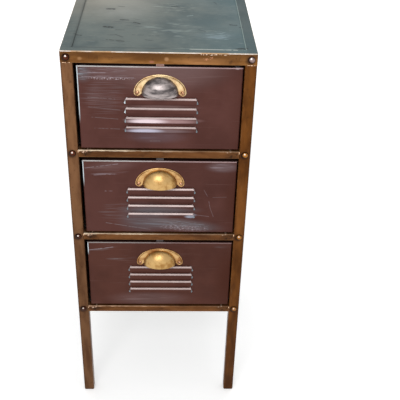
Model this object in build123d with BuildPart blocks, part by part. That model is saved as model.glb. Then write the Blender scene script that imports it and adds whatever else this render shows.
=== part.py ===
from build123d import *
from math import cos, radians, sin
import os

# Small metal drawer cabinet: four square-tube legs under a mitred top frame, rails between the legs,
# a pressed top, sheet sides and back, and three louvred drawers with cup pulls.
# Millimetres. +Z is up and the front faces -Y. The origin is at floor level, in the middle of the
# whole footprint, which runs from the cup pulls in front to the back of the frame.
# Domes, shanks and small holes are drawn with flat sides, a few for each fastener.

# Overall size of the frame
WIDTH = 320.0
DEPTH = 340.0
HEIGHT = 775.0

# Square-tube legs and the plugs in their feet
LEG = 20.0
LEG_WALL = 1.5
LEG_CORNER = 2.0
FOOT_THICK = 3.0
FOOT_CHAMFER = 2.0
FOOT_STEM = 15.0
PLUG_CLEAR = 0.15

# Top frame of mitred angle, with spigots that carry it on the legs
TOP_ANGLE_HEIGHT = 18.8
TOP_ANGLE_WIDTH = 17.0
TOP_ANGLE_THICK = 1.6
SPIGOT_DEPTH = 25.0
SPIGOT_CLEAR = 0.1

# Pressed top sheet
TOP_SHEET = 1.2
TOP_SINK = 1.5
TOP_STEP_CLEAR = 0.3
TOP_STEP_CHAMFER = 0.5

# Angle rails between the legs, one below each drawer
RAIL_HEIGHT = 14.0
RAIL_WIDTH = 14.0
RAIL_THICK = 2.0
COPE_CLEAR = 4.0

# Rows of bolts: the first is in the top frame, the others are at the middle of a rail
BOLT_DROP = 10.5
ROW_PITCH = 177.5
DRAWERS = 3

# Domed bolts through the front legs, and their nuts
BOLT_RADIUS = 3.0
BOLT_CLEAR = 0.25
BOLT_TAIL = 1.5
BOLT_HEAD_RADIUS = 6.0
BOLT_HEAD_HEIGHT = 3.5
FASTENER_SIDES = 12
NUT_ACROSS_FLATS = 10.0
NUT_THICK = 5.0
THREAD_CLEAR = 0.05

# Sheet panels of the carcass
PANEL_SHEET = 1.0
PANEL_CLEAR = 0.4
FLOOR_SHEET = 0.8

# Drawer runners
RUNNER_SHEET = 1.5
LEDGE_REACH = 13.0
RUNNER_WEB = 14.0
LUG_BELOW_BOLT = 9.0
REAR_STOP_HEIGHT = 12.0
REAR_STOP_WIDTH = 10.0
SLIDE_GAP = 0.3

# Folded drawer fronts
FRONT_SHEET = 1.2
FRONT_BEND = 3.0
FRONT_RETURN = 12.0
FRONT_RECESS = 2.0
FRONT_SIDE_GAP = 3.5
FRONT_BOTTOM_GAP = 2.0
FRONT_TOP_GAP = 8.5
DRAWER_SIT = 1.5

# Pressed louvres, closed above and open below
LOUVRES = 4
LOUVRE_PITCH = 17.7
LOUVRE_LENGTH = 125.0
LOUVRE_HEIGHT = 10.0
LOUVRE_DEPTH = 5.0
LOUVRE_LEAN = 4.0
LOUVRE_CORNER = 5.0
LOUVRE_CROWN = 4.2
LOUVRE_GAP = 3.0
LOUVRE_SHIFT = 2.0

# Drawer trays, with the straps that stop them at the end of their travel
TRAY_SHEET = 1.0
TRAY_DROP = 21.8
TRAY_BACK_GAP = 45.0
HEM_HEIGHT = 8.0
DRAWER_TRAVEL = 250.0
STOP_CLEAR = 0.5
STOP_BITE = 6.0
STRAP_THICK = 1.2
STRAP_WIDTH = 14.0
STRAP_LAP = 50.0

# Small tab on the top of each drawer front
TAB_WIDTH = 13.0
TAB_SHEET = 1.2
TAB_RISE = 4.5
TAB_FOOT = 7.0

# Cup pulls: a crescent flange with an ear at each end, and a round hood open below
PULL_WIDTH = 87.0
PULL_HEIGHT = 38.5
PULL_DROP = 13.0
FLANGE_THICK = 1.6
EAR_RADIUS = 6.2
HOOD_RADIUS = 31.0
HOOD_DEPTH = 20.0
HOOD_WALL = 1.5
HOOD_BANDS = 4
HOOD_SIDES = 48
LIP_LIFT = 3.5

# Screws and nuts of the cup pulls
SCREW_RADIUS = 1.75
SCREW_CLEAR = 0.15
SCREW_TAIL = 1.8
SCREW_HEAD_RADIUS = 3.2
SCREW_HEAD_HEIGHT = 1.8
SCREW_NUT_FLATS = 6.0
SCREW_NUT_THICK = 2.4

# Planes of the outside
PULL_PROUD = HOOD_DEPTH - FRONT_RECESS
FRONT_Y = -(DEPTH - PULL_PROUD) / 2
BACK_Y = FRONT_Y + DEPTH
SIDE_X = WIDTH / 2
LEG_INNER_X = SIDE_X - LEG
LEG_MIDDLE_X = SIDE_X - LEG / 2
MIDDLE_Y = (FRONT_Y + BACK_Y) / 2

# Levels
TOP_FRAME_Z = HEIGHT - TOP_SHEET
LEG_TOP_Z = TOP_FRAME_Z - TOP_ANGLE_HEIGHT
TOP_LEDGE_Z = TOP_FRAME_Z - TOP_ANGLE_THICK
FIRST_ROW_Z = HEIGHT - BOLT_DROP
ROWS = [FIRST_ROW_Z - ROW_PITCH * (k + 1) for k in range(DRAWERS)]
LAST_ROW_Z = ROWS[-1]
CARCASS_FLOOR_Z = LAST_ROW_Z + RAIL_HEIGHT / 2

# Levels of one drawer, counted from the bolts of its own row
FACE_BOTTOM = RAIL_HEIGHT / 2 + FRONT_BOTTOM_GAP
FACE_HEIGHT = ROW_PITCH - RAIL_HEIGHT - FRONT_BOTTOM_GAP - FRONT_TOP_GAP
FACE_TOP = FACE_BOTTOM + FACE_HEIGHT
TRAY_BOTTOM = FACE_BOTTOM + FRONT_SHEET
TRAY_TOP = FACE_TOP - TRAY_DROP
LEDGE_TOP = TRAY_BOTTOM - SLIDE_GAP

# Places of one drawer, front to back and from its own middle
FACE_Y = FRONT_Y + FRONT_RECESS
FACE_HALF = LEG_INNER_X - FRONT_SIDE_GAP
RETURN_INNER = FACE_HALF - FRONT_SHEET
TRAY_FRONT_Y = FACE_Y + FRONT_BEND
TRAY_BACK_Y = BACK_Y - TRAY_BACK_GAP
TRAY_LENGTH = TRAY_BACK_Y - TRAY_FRONT_Y
PULL_BASE = FACE_TOP - PULL_DROP - PULL_HEIGHT
EAR_X = PULL_WIDTH / 2 - EAR_RADIUS
EAR_Z = PULL_BASE + EAR_RADIUS
EARS = [(-EAR_X, EAR_Z), (EAR_X, EAR_Z)]
FIRST_LIP_Z = PULL_BASE - LOUVRE_GAP - LOUVRE_HEIGHT

# Lengths of the fasteners, and what is cut back to clear them
SPIGOT_START = max(TOP_ANGLE_THICK, LEG_WALL + SPIGOT_CLEAR)
SPIGOT_END = min(TOP_ANGLE_WIDTH, LEG - LEG_WALL - SPIGOT_CLEAR)
LUG_WIDTH = LEG - TOP_ANGLE_THICK - PANEL_SHEET - PANEL_CLEAR
BOLT_SHANK = LEG + RUNNER_SHEET + NUT_THICK + BOLT_TAIL
RAIL_COPE = BOLT_SHANK - LEG + COPE_CLEAR
SCREW_LENGTH = FLANGE_THICK + FRONT_SHEET + SCREW_NUT_THICK + SCREW_TAIL

SIDES = {"left": -1, "right": 1}
os.makedirs("parts", exist_ok=True)


def save(part, name):
    """Label one finished piece and write its STEP file."""
    part.label = name
    export_step(part, f"parts/{name}.step")


def dome(radius, depth, bands, sides):
    """Flat-sided dome that rises from the XZ plane towards -Y, its rings on a quarter oval."""

    def corner(ring, side):
        lift, turn = radians(90 * ring / bands), radians(360 * side / sides)
        reach = radius * cos(lift)
        return (reach * cos(turn), -depth * sin(lift), reach * sin(turn))

    outlines = [[corner(0, side) for side in range(sides)]]
    for side in range(sides):
        for ring in range(bands - 1):
            below = [corner(ring, side), corner(ring, side + 1)]
            outlines.append(below + [corner(ring + 1, side + 1), corner(ring + 1, side)])
        outlines.append([corner(bands - 1, side), corner(bands - 1, side + 1), (0, -depth, 0)])
    return Solid(Shell([Face(Wire.make_polygon(outline, close=True)) for outline in outlines]))


def shank_outline(radius):
    """Section of a shank, drawn inside the given radius."""
    RegularPolygon(radius, side_count=FASTENER_SIDES)


def hole_outline(radius, mode=Mode.ADD):
    """Section of a hole that leaves the given radius clear."""
    RegularPolygon(radius, side_count=FASTENER_SIDES, major_radius=False, mode=mode)


# ---------------------------------------------------------------- legs, feet and spigots

LEG_CENTRES = {
    f"{depth_name}_{side_name}": (side * LEG_MIDDLE_X, y)
    for depth_name, y in (("front", FRONT_Y + LEG / 2), ("rear", BACK_Y - LEG / 2))
    for side_name, side in SIDES.items()
}

for place, (x, y) in LEG_CENTRES.items():
    with BuildPart() as leg:
        with BuildSketch(Plane.XY.offset(FOOT_THICK)):
            with Locations((x, y)):
                RectangleRounded(LEG, LEG, LEG_CORNER)
                Rectangle(LEG - 2 * LEG_WALL, LEG - 2 * LEG_WALL, mode=Mode.SUBTRACT)
        extrude(amount=LEG_TOP_Z - FOOT_THICK)
        if place.startswith("front"):
            with BuildSketch(Plane.XZ.offset(-y)):
                with Locations(*[(x, row) for row in ROWS]):
                    hole_outline(BOLT_RADIUS + BOLT_CLEAR)
            extrude(amount=LEG, both=True, mode=Mode.SUBTRACT)
    save(leg.part, f"leg_{place}")

with BuildPart() as foot_plug:
    with BuildSketch():
        outline = Rectangle(LEG, LEG)
        chamfer(outline.vertices(), LEG_CORNER)
    extrude(amount=FOOT_THICK)
    chamfer(foot_plug.faces().sort_by(Axis.Z)[0].edges(), FOOT_CHAMFER)
    with BuildSketch(Plane.XY.offset(FOOT_THICK)):
        stem = LEG - 2 * (LEG_WALL + PLUG_CLEAR)
        Rectangle(stem, stem)
    extrude(amount=FOOT_STEM)

with BuildPart() as foot_plugs:
    with Locations(*[(x, y, 0) for x, y in LEG_CENTRES.values()]):
        add(foot_plug.part)
save(foot_plugs.part, "foot_plugs")

# Each spigot is welded in a leg and in the corner of the top frame, up to its ledge.
with BuildPart() as corner_spigots:
    with BuildSketch(Plane.XY.offset(LEG_TOP_Z - SPIGOT_DEPTH)):
        spigot_middle = (SPIGOT_START + SPIGOT_END) / 2
        spigot_ys = (FRONT_Y + spigot_middle, BACK_Y - spigot_middle)
        with Locations(*[(s * (SIDE_X - spigot_middle), y) for s in SIDES.values() for y in spigot_ys]):
            Rectangle(SPIGOT_END - SPIGOT_START, SPIGOT_END - SPIGOT_START)
    extrude(amount=TOP_LEDGE_Z - LEG_TOP_Z + SPIGOT_DEPTH)
    with BuildSketch(Plane.XZ.offset(-FRONT_Y)):
        with Locations(*[(side * LEG_MIDDLE_X, FIRST_ROW_Z) for side in SIDES.values()]):
            hole_outline(BOLT_RADIUS + BOLT_CLEAR)
    extrude(amount=-LEG, mode=Mode.SUBTRACT)
save(corner_spigots.part, "corner_spigots")

# ---------------------------------------------------------------- top frame and top sheet


def angle_outline(width, height, thick):
    """Section of an angle: a flange that hangs down from the outer end of a ledge."""
    points = [(0, 0), (thick, 0), (thick, height - thick), (width, height - thick)]
    Polyline(*points, (width, height), (0, height), close=True)


# Each side of the frame runs from one corner to the next, anticlockwise as seen from above.
CORNERS = [(-SIDE_X, FRONT_Y), (SIDE_X, FRONT_Y), (SIDE_X, BACK_Y), (-SIDE_X, BACK_Y)]
TOP_RAILS = ["front", "right", "rear", "left"]

for k, side_name in enumerate(TOP_RAILS):
    start, end = Vector(*CORNERS[k]), Vector(*CORNERS[(k + 1) % len(CORNERS)])
    along = (end - start).normalized()
    inward = Vector(-along.Y, along.X)
    with BuildPart() as top_rail:
        section_plane = Plane(start + Vector(0, 0, LEG_TOP_Z), x_dir=inward, z_dir=along)
        with BuildSketch(section_plane):
            with BuildLine():
                angle_outline(TOP_ANGLE_WIDTH, TOP_ANGLE_HEIGHT, TOP_ANGLE_THICK)
            make_face()
        extrude(amount=(end - start).length)
        with BuildSketch(Plane.XY.offset(LEG_TOP_Z)):
            with BuildLine():
                mitre = inward * TOP_ANGLE_WIDTH
                near = start + mitre + along * TOP_ANGLE_WIDTH
                far = end + mitre - along * TOP_ANGLE_WIDTH
                Polyline(start, end, far, near, close=True)
            make_face()
        extrude(amount=TOP_ANGLE_HEIGHT, mode=Mode.INTERSECT)
        if side_name == "front":
            with BuildSketch(Plane.XZ.offset(-FRONT_Y)):
                with Locations(*[(side * LEG_MIDDLE_X, FIRST_ROW_Z) for side in SIDES.values()]):
                    hole_outline(BOLT_RADIUS + BOLT_CLEAR)
            extrude(amount=-TOP_ANGLE_WIDTH, mode=Mode.SUBTRACT)
    save(top_rail.part, f"top_rail_{side_name}")

# The rim lies on the frame's ledge and the field is pressed down between the ledges.
STEP_INSET = TOP_ANGLE_WIDTH + TOP_STEP_CLEAR
FIELD_INSET = STEP_INSET + TOP_SHEET

with BuildPart() as top_panel:
    with BuildSketch(Plane.XY.offset(TOP_FRAME_Z)):
        with Locations((0, MIDDLE_Y)):
            RectangleRounded(WIDTH, DEPTH, LEG_CORNER)
    extrude(amount=TOP_SHEET)
    with BuildSketch(Plane.XY.offset(TOP_FRAME_Z)):
        with Locations((0, MIDDLE_Y)):
            Rectangle(WIDTH - 2 * STEP_INSET, DEPTH - 2 * STEP_INSET)
    extrude(amount=-TOP_SINK)
    with BuildSketch(Plane.XY.offset(HEIGHT)):
        with Locations((0, MIDDLE_Y)):
            Rectangle(WIDTH - 2 * FIELD_INSET, DEPTH - 2 * FIELD_INSET)
    extrude(amount=-TOP_SINK, mode=Mode.SUBTRACT)
    rim = top_panel.faces().filter_by(Axis.Z).sort_by(Axis.Z)[-1]
    chamfer(rim.inner_wires()[0].edges(), TOP_STEP_CHAMFER)
save(top_panel.part, "top_panel")

# ---------------------------------------------------------------- rails between the legs


def cross_rail(name, y, inward, row):
    """Angle rail between two legs, with its flange outside and its ledge at the top."""
    corner = (-inward * LEG_INNER_X, y, row - RAIL_HEIGHT / 2)
    section = Plane(corner, x_dir=(0, inward, 0), z_dir=(inward, 0, 0))
    with BuildPart() as rail:
        with BuildSketch(section):
            with BuildLine():
                angle_outline(RAIL_WIDTH, RAIL_HEIGHT, RAIL_THICK)
            make_face()
        extrude(amount=2 * LEG_INNER_X)
    save(rail.part, name)


for name, row in zip(("mid_rail_upper", "mid_rail_lower", "bottom_rail_front"), ROWS):
    cross_rail(name, FRONT_Y, 1, row)
cross_rail("bottom_rail_rear", BACK_Y, -1, LAST_ROW_Z)

# The side rails butt against the legs. Their ledges are coped at both ends, clear of the nuts.
for side_name, side in SIDES.items():
    with BuildPart() as side_rail:
        with BuildSketch(Plane.XZ.offset(-FRONT_Y - LEG)):
            with Locations((side * (SIDE_X - RAIL_THICK / 2), LAST_ROW_Z)):
                Rectangle(RAIL_THICK, RAIL_HEIGHT)
        extrude(amount=-(DEPTH - 2 * LEG))
        with BuildSketch(Plane.XZ.offset(-FRONT_Y - LEG - RAIL_COPE)):
            with Locations((side * (SIDE_X - RAIL_WIDTH / 2), CARCASS_FLOOR_Z - RAIL_THICK / 2)):
                Rectangle(RAIL_WIDTH, RAIL_THICK)
        extrude(amount=-(DEPTH - 2 * (LEG + RAIL_COPE)))
    save(side_rail.part, f"bottom_rail_{side_name}")

# ---------------------------------------------------------------- carcass panels

# Each side panel stands on its bottom rail, between the legs, inside the flange of the top frame.
for side_name, side in SIDES.items():
    with BuildPart() as side_panel:
        with BuildSketch(Plane.XY.offset(CARCASS_FLOOR_Z)):
            with Locations((side * (SIDE_X - TOP_ANGLE_THICK - PANEL_SHEET / 2), MIDDLE_Y)):
                Rectangle(PANEL_SHEET, DEPTH - 2 * LEG)
        extrude(amount=TOP_LEDGE_Z - CARCASS_FLOOR_Z)
    save(side_panel.part, f"side_panel_{side_name}")

with BuildPart() as back_panel:
    with BuildSketch(Plane.XY.offset(CARCASS_FLOOR_Z)):
        with Locations((0, BACK_Y - TOP_ANGLE_THICK - PANEL_SHEET / 2)):
            Rectangle(2 * LEG_INNER_X, PANEL_SHEET)
    extrude(amount=TOP_LEDGE_Z - CARCASS_FLOOR_Z)
save(back_panel.part, "back_panel")

# The floor lies under the ledges of the four bottom rails, notched round the legs, lugs and nuts.
with BuildPart() as bottom_panel:
    with BuildSketch(Plane.XY.offset(CARCASS_FLOOR_Z - RAIL_THICK)):
        with Locations((0, MIDDLE_Y)):
            Rectangle(WIDTH - 2 * RAIL_THICK, DEPTH - 2 * RAIL_THICK)
        notch_x, notch_y = LEG + RUNNER_SHEET, LEG + RAIL_COPE
        with Locations(*[(sx * SIDE_X, y) for sx in SIDES.values() for y in (FRONT_Y, BACK_Y)]):
            Rectangle(2 * notch_x, 2 * notch_y, mode=Mode.SUBTRACT)
    extrude(amount=-FLOOR_SHEET)
save(bottom_panel.part, "bottom_panel")

# ---------------------------------------------------------------- drawer runners

RUNNER_FRONT_Y = FRONT_Y + LEG
RUNNER_LENGTH = DEPTH - 2 * LEG
WEB_BOTTOM = LEDGE_TOP - RUNNER_SHEET
WEB_TOP = WEB_BOTTOM + RUNNER_WEB
LUG_HEIGHT = WEB_TOP + LUG_BELOW_BOLT


def runner(side):
    """One runner, its bolt at Z = 0: a ledge, a web beside it, a lug at each end and a rear stop."""
    with BuildPart() as piece:
        with BuildSketch(Plane.XZ.offset(-RUNNER_FRONT_Y)):
            with Locations((side * (LEG_INNER_X + RUNNER_SHEET / 2), WEB_BOTTOM + RUNNER_WEB / 2)):
                Rectangle(RUNNER_SHEET, RUNNER_WEB)
            ledge_middle = LEG_INNER_X + (RUNNER_SHEET - LEDGE_REACH) / 2
            with Locations((side * ledge_middle, WEB_BOTTOM + RUNNER_SHEET / 2)):
                Rectangle(LEDGE_REACH + RUNNER_SHEET, RUNNER_SHEET)
        extrude(amount=-RUNNER_LENGTH)
        for lug_y in (RUNNER_FRONT_Y, RUNNER_FRONT_Y + RUNNER_LENGTH - RUNNER_SHEET):
            with BuildSketch(Plane.XZ.offset(-lug_y)):
                with Locations((side * (LEG_INNER_X + LUG_WIDTH / 2), WEB_TOP - LUG_HEIGHT / 2)):
                    Rectangle(LUG_WIDTH, LUG_HEIGHT)
                if lug_y == RUNNER_FRONT_Y:
                    with Locations((side * LEG_MIDDLE_X, 0)):
                        hole_outline(BOLT_RADIUS + BOLT_CLEAR, mode=Mode.SUBTRACT)
            extrude(amount=-RUNNER_SHEET)
        stop_x = LEG_INNER_X - LEDGE_REACH + REAR_STOP_WIDTH / 2
        with BuildSketch(Plane.XZ.offset(-TRAY_BACK_Y - SLIDE_GAP)):
            with Locations((side * stop_x, LEDGE_TOP + REAR_STOP_HEIGHT / 2)):
                Rectangle(REAR_STOP_WIDTH, REAR_STOP_HEIGHT)
        extrude(amount=-RUNNER_SHEET)
    return piece.part


for side_name, side in SIDES.items():
    master = runner(side)
    for k, row in enumerate(ROWS):
        with BuildPart() as placed:
            with Locations((0, 0, row)):
                add(master)
        save(placed.part, f"runner_{k + 1}_{side_name}")

# ---------------------------------------------------------------- domed bolts and nuts of the frame

with BuildPart() as dome_bolt:
    add(dome(BOLT_HEAD_RADIUS, BOLT_HEAD_HEIGHT, HOOD_BANDS // 2, FASTENER_SIDES))
    with BuildSketch(Plane.XZ):
        shank_outline(BOLT_RADIUS)
    extrude(amount=-BOLT_SHANK)


def hex_nut(flats, thick, bore):
    """Plain hexagonal nut on the Y axis, from Y = 0 backwards."""
    with BuildPart() as nut:
        with BuildSketch(Plane.XZ):
            RegularPolygon(flats / 2, side_count=6, major_radius=False)
            hole_outline(bore, mode=Mode.SUBTRACT)
        extrude(amount=-thick)
    return nut.part


# The top row grips the frame and its spigots, the others the legs and the lugs of the runners.
GRIPS = {FIRST_ROW_Z: SPIGOT_END, **{row: LEG + RUNNER_SHEET for row in ROWS}}

BOLT_PLACES = [(side * LEG_MIDDLE_X, row) for side in SIDES.values() for row in GRIPS]

with BuildPart() as front_bolts:
    with Locations(*[(x, FRONT_Y, row) for x, row in BOLT_PLACES]):
        add(dome_bolt.part)
save(front_bolts.part, "front_bolts")

with BuildPart() as front_nuts:
    with Locations(*[(x, FRONT_Y + GRIPS[row], row) for x, row in BOLT_PLACES]):
        add(hex_nut(NUT_ACROSS_FLATS, NUT_THICK, BOLT_RADIUS + THREAD_CLEAR))
save(front_nuts.part, "front_nuts")

# ---------------------------------------------------------------- drawer front with its louvres


def louvre_form(inset, back):
    """The pressed hood, or with an inset of one sheet the space under it, lip at Z = 0, face at Y = 0.

    It is what three outlines share: rounded at both ends from above, with ends that lean inwards
    to rounded top corners from the front, and rounded along its top from the side.
    """
    half = LOUVRE_LENGTH / 2 - inset
    height = LOUVRE_HEIGHT - inset
    depth = LOUVRE_DEPTH - inset
    top_half = half - LOUVRE_LEAN * height / LOUVRE_HEIGHT
    with BuildPart() as form:
        with BuildSketch(Plane.XZ.offset(-back)) as from_front:
            Polygon((-half, 0), (half, 0), (top_half, height), (-top_half, height), align=None)
            fillet(from_front.vertices().group_by(Axis.Y)[-1], LOUVRE_CORNER - inset)
        extrude(amount=back + depth)
        with BuildSketch() as from_above:
            with Locations((0, (back - depth) / 2)):
                Rectangle(2 * half, back + depth)
            fillet(from_above.vertices().group_by(Axis.Y)[0], LOUVRE_CROWN - inset)
        extrude(amount=height, mode=Mode.INTERSECT)
        with BuildSketch(Plane.YZ.offset(-half)) as from_side:
            with Locations(((back - depth) / 2, height / 2)):
                Rectangle(back + depth, height)
            fillet(from_side.vertices().group_by(Axis.X)[0].sort_by(Axis.Y)[-1], LOUVRE_CROWN - inset)
        extrude(amount=2 * half, mode=Mode.INTERSECT)
    return form.part


def pan_form(inset):
    """The folded pan as a block with four bends, or with an inset of one sheet its hollow.

    It is what the section of the top and bottom bends shares with the section of the side bends,
    so that the bends meet in a mitre at each corner.
    """
    width, height, depth = 2 * (FACE_HALF - inset), FACE_HEIGHT - 2 * inset, FRONT_RETURN - inset
    back_y = FACE_Y + FRONT_RETURN
    with BuildPart() as form:
        with BuildSketch(Plane.XY.offset(FACE_BOTTOM + inset)) as from_above:
            with Locations((0, back_y - depth / 2)):
                Rectangle(width, depth)
            fillet(from_above.vertices().group_by(Axis.Y)[0], FRONT_BEND - inset)
        extrude(amount=height)
        with BuildSketch(Plane.YZ.offset(-width / 2)) as from_side:
            with Locations((back_y - depth / 2, FACE_BOTTOM + FACE_HEIGHT / 2)):
                Rectangle(depth, height)
            fillet(from_side.vertices().group_by(Axis.X)[0], FRONT_BEND - inset)
        extrude(amount=width, mode=Mode.INTERSECT)
    return form.part


with BuildPart() as drawer_front:
    add(pan_form(0))
    add(pan_form(FRONT_SHEET), mode=Mode.SUBTRACT)
    with Locations(*[(LOUVRE_SHIFT, FACE_Y, FIRST_LIP_Z - LOUVRE_PITCH * k) for k in range(LOUVRES)]):
        add(louvre_form(0, 0))
        add(louvre_form(FRONT_SHEET, FRONT_SHEET), mode=Mode.SUBTRACT)
    with BuildSketch(Plane.XZ.offset(-FACE_Y)):
        with Locations(*EARS):
            hole_outline(SCREW_RADIUS + SCREW_CLEAR)
    extrude(amount=-2 * FRONT_SHEET, mode=Mode.SUBTRACT)

# ---------------------------------------------------------------- drawer tray and its stop straps

with BuildPart() as drawer_tray:
    with BuildSketch(Plane.XY.offset(TRAY_BOTTOM)):
        with Locations((0, (TRAY_FRONT_Y + TRAY_BACK_Y) / 2)):
            Rectangle(2 * RETURN_INNER, TRAY_LENGTH)
    extrude(amount=TRAY_TOP - TRAY_BOTTOM)
    inner = RETURN_INNER - TRAY_SHEET
    hem = inner - TRAY_SHEET
    hem_z = TRAY_TOP - HEM_HEIGHT
    for half, low, high in ((inner, TRAY_BOTTOM + TRAY_SHEET, hem_z), (hem, hem_z, TRAY_TOP)):
        wall = RETURN_INNER - half
        with BuildSketch(Plane.XY.offset(low)):
            with Locations((0, (TRAY_FRONT_Y + TRAY_BACK_Y - wall) / 2)):
                Rectangle(2 * half, TRAY_LENGTH - wall)
        extrude(amount=high - low, mode=Mode.SUBTRACT)

# A strap on each side of the tray rises behind the rail above and meets it at full travel.
STRAP_TOP = ROW_PITCH - RAIL_HEIGHT / 2 + STOP_BITE
STRAP_BOTTOM = TRAY_TOP - STRAP_LAP
STRAP_FRONT_Y = FRONT_Y + RAIL_THICK + STOP_CLEAR + DRAWER_TRAVEL

with BuildPart() as stop_straps:
    with BuildSketch(Plane.XY.offset(STRAP_BOTTOM)):
        for side in SIDES.values():
            with Locations((side * (RETURN_INNER + STRAP_THICK / 2), STRAP_FRONT_Y + STRAP_WIDTH / 2)):
                Rectangle(STRAP_THICK, STRAP_WIDTH)
    extrude(amount=STRAP_TOP - STRAP_BOTTOM)

# ---------------------------------------------------------------- small tab on the drawer's top edge

with BuildPart() as top_tab:
    tab_y = FACE_Y + FRONT_BEND
    with BuildSketch(Plane.YZ.offset(-TAB_WIDTH / 2)):
        with BuildLine():
            foot = [(tab_y, FACE_TOP), (tab_y + TAB_FOOT, FACE_TOP), (tab_y + TAB_FOOT, FACE_TOP + TAB_SHEET)]
            rise = [(tab_y + TAB_SHEET, FACE_TOP + TAB_SHEET), (tab_y + TAB_SHEET, FACE_TOP + TAB_RISE)]
            Polyline(*foot, *rise, (tab_y, FACE_TOP + TAB_RISE), close=True)
        make_face()
    extrude(amount=TAB_WIDTH)

# ---------------------------------------------------------------- cup pull

LIP_Z = PULL_BASE + LIP_LIFT

# The hood is the upper half of a thin dome, so that it is open below.
with BuildPart() as hood:
    add(dome(HOOD_RADIUS, HOOD_DEPTH, HOOD_BANDS, HOOD_SIDES))
    inner_radius = HOOD_RADIUS - HOOD_WALL
    add(dome(inner_radius, HOOD_DEPTH - HOOD_WALL, HOOD_BANDS, HOOD_SIDES), mode=Mode.SUBTRACT)
    split(bisect_by=Plane.XY, keep=Keep.TOP)

with BuildPart() as cup_pull:
    # The crescent: half an ellipse above the ears, rounded off below by the ears themselves
    with BuildSketch(Plane.XZ.offset(-FACE_Y)):
        with Locations((0, EAR_Z)):
            Ellipse(PULL_WIDTH / 2, PULL_HEIGHT - EAR_RADIUS)
        with Locations((0, EAR_Z - PULL_HEIGHT / 2)):
            Rectangle(PULL_WIDTH, PULL_HEIGHT, mode=Mode.SUBTRACT)
        with Locations(*EARS):
            Circle(EAR_RADIUS)
        with Locations((0, LIP_Z)):
            RegularPolygon(inner_radius, side_count=HOOD_SIDES, mode=Mode.SUBTRACT)
        with Locations(*EARS):
            hole_outline(SCREW_RADIUS + SCREW_CLEAR, mode=Mode.SUBTRACT)
    extrude(amount=FLANGE_THICK)
    with Locations((0, FACE_Y, LIP_Z)):
        add(hood.part)

with BuildPart() as pull_screw:
    with BuildSketch(Plane.XZ):
        shank_outline(SCREW_HEAD_RADIUS)
    extrude(amount=SCREW_HEAD_HEIGHT)
    with BuildSketch(Plane.XZ):
        shank_outline(SCREW_RADIUS)
    extrude(amount=-SCREW_LENGTH)

with BuildPart() as pull_screws:
    with Locations(*[(x, FACE_Y - FLANGE_THICK, z) for x, z in EARS]):
        add(pull_screw.part)

with BuildPart() as pull_nuts:
    with Locations(*[(x, FACE_Y + FRONT_SHEET, z) for x, z in EARS]):
        add(hex_nut(SCREW_NUT_FLATS, SCREW_NUT_THICK, SCREW_RADIUS + THREAD_CLEAR))

# ---------------------------------------------------------------- the three drawers

DRAWER_PIECES = {
    "drawer_front": drawer_front,
    "drawer_tray": drawer_tray,
    "stop_straps": stop_straps,
    "top_tab": top_tab,
    "cup_pull": cup_pull,
    "pull_screws": pull_screws,
    "pull_nuts": pull_nuts,
}

for k, row in enumerate(ROWS):
    for name, master in DRAWER_PIECES.items():
        with BuildPart() as placed:
            with Locations((DRAWER_SIT, 0, row)):
                add(master.part)
        save(placed.part, f"{name}_{k + 1}")
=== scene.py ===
"""Looks of a small metal drawer cabinet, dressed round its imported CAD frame.

The frame gives the places and sizes. The CAD nodes keep their meshes and get painted or plated
finishes, and the cup pulls, screws, bolts and weld beads are made here as smooth surfaces.
All lengths are in metres, +Z is up and the front faces -Y.
"""

from __future__ import annotations

import logging
import math
from dataclasses import dataclass, replace
from enum import Enum
from typing import Union

import bmesh
import bpy
import numpy as np
from mathutils import Matrix, Vector

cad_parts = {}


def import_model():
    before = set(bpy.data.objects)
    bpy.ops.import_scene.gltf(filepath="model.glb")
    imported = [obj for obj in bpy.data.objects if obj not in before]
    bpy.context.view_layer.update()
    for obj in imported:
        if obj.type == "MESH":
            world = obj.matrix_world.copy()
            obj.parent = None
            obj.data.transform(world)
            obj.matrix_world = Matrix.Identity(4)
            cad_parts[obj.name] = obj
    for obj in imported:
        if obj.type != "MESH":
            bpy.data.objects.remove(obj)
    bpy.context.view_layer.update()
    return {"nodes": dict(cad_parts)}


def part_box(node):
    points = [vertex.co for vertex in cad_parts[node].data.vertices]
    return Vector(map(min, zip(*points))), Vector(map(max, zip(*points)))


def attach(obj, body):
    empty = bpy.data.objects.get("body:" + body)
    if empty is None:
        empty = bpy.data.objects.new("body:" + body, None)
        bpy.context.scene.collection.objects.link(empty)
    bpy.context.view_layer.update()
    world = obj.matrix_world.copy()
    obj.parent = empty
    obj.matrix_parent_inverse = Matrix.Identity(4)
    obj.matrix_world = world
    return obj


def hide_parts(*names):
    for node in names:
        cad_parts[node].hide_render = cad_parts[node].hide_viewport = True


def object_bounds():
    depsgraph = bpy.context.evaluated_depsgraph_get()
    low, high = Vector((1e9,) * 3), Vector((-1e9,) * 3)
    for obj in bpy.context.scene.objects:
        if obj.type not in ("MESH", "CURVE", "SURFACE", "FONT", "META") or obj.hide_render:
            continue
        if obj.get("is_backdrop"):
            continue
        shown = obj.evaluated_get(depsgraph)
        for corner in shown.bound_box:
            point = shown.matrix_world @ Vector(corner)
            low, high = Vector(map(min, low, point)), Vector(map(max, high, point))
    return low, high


LOG = logging.getLogger("drawer_cabinet")
MM = 0.001
DRAWERS = (1, 2, 3)
Pair = tuple[float, float]
Triple = tuple[float, float, float]
Colour = Triple
Box = tuple[Vector, Vector]
Object = bpy.types.Object
Material = bpy.types.Material
Tree = bpy.types.NodeTree
Socket = bpy.types.NodeSocket
Feed = Union[Socket, float, tuple, Vector]


class Side(Enum):
    """The two sides of the cabinet, with the sign of X on each."""

    LEFT = -1
    RIGHT = 1


class Plane(Enum):
    """The faces that carry marks."""

    FRONT = "upright, across X and Z"
    TOP = "level, across X and Y"

    def point(self, across: float, up: float, through: float) -> Triple:
        """Return X, Y and Z from two values in the plane and one through it."""
        return (across, through, up) if self is Plane.FRONT else (across, up, through)


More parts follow.
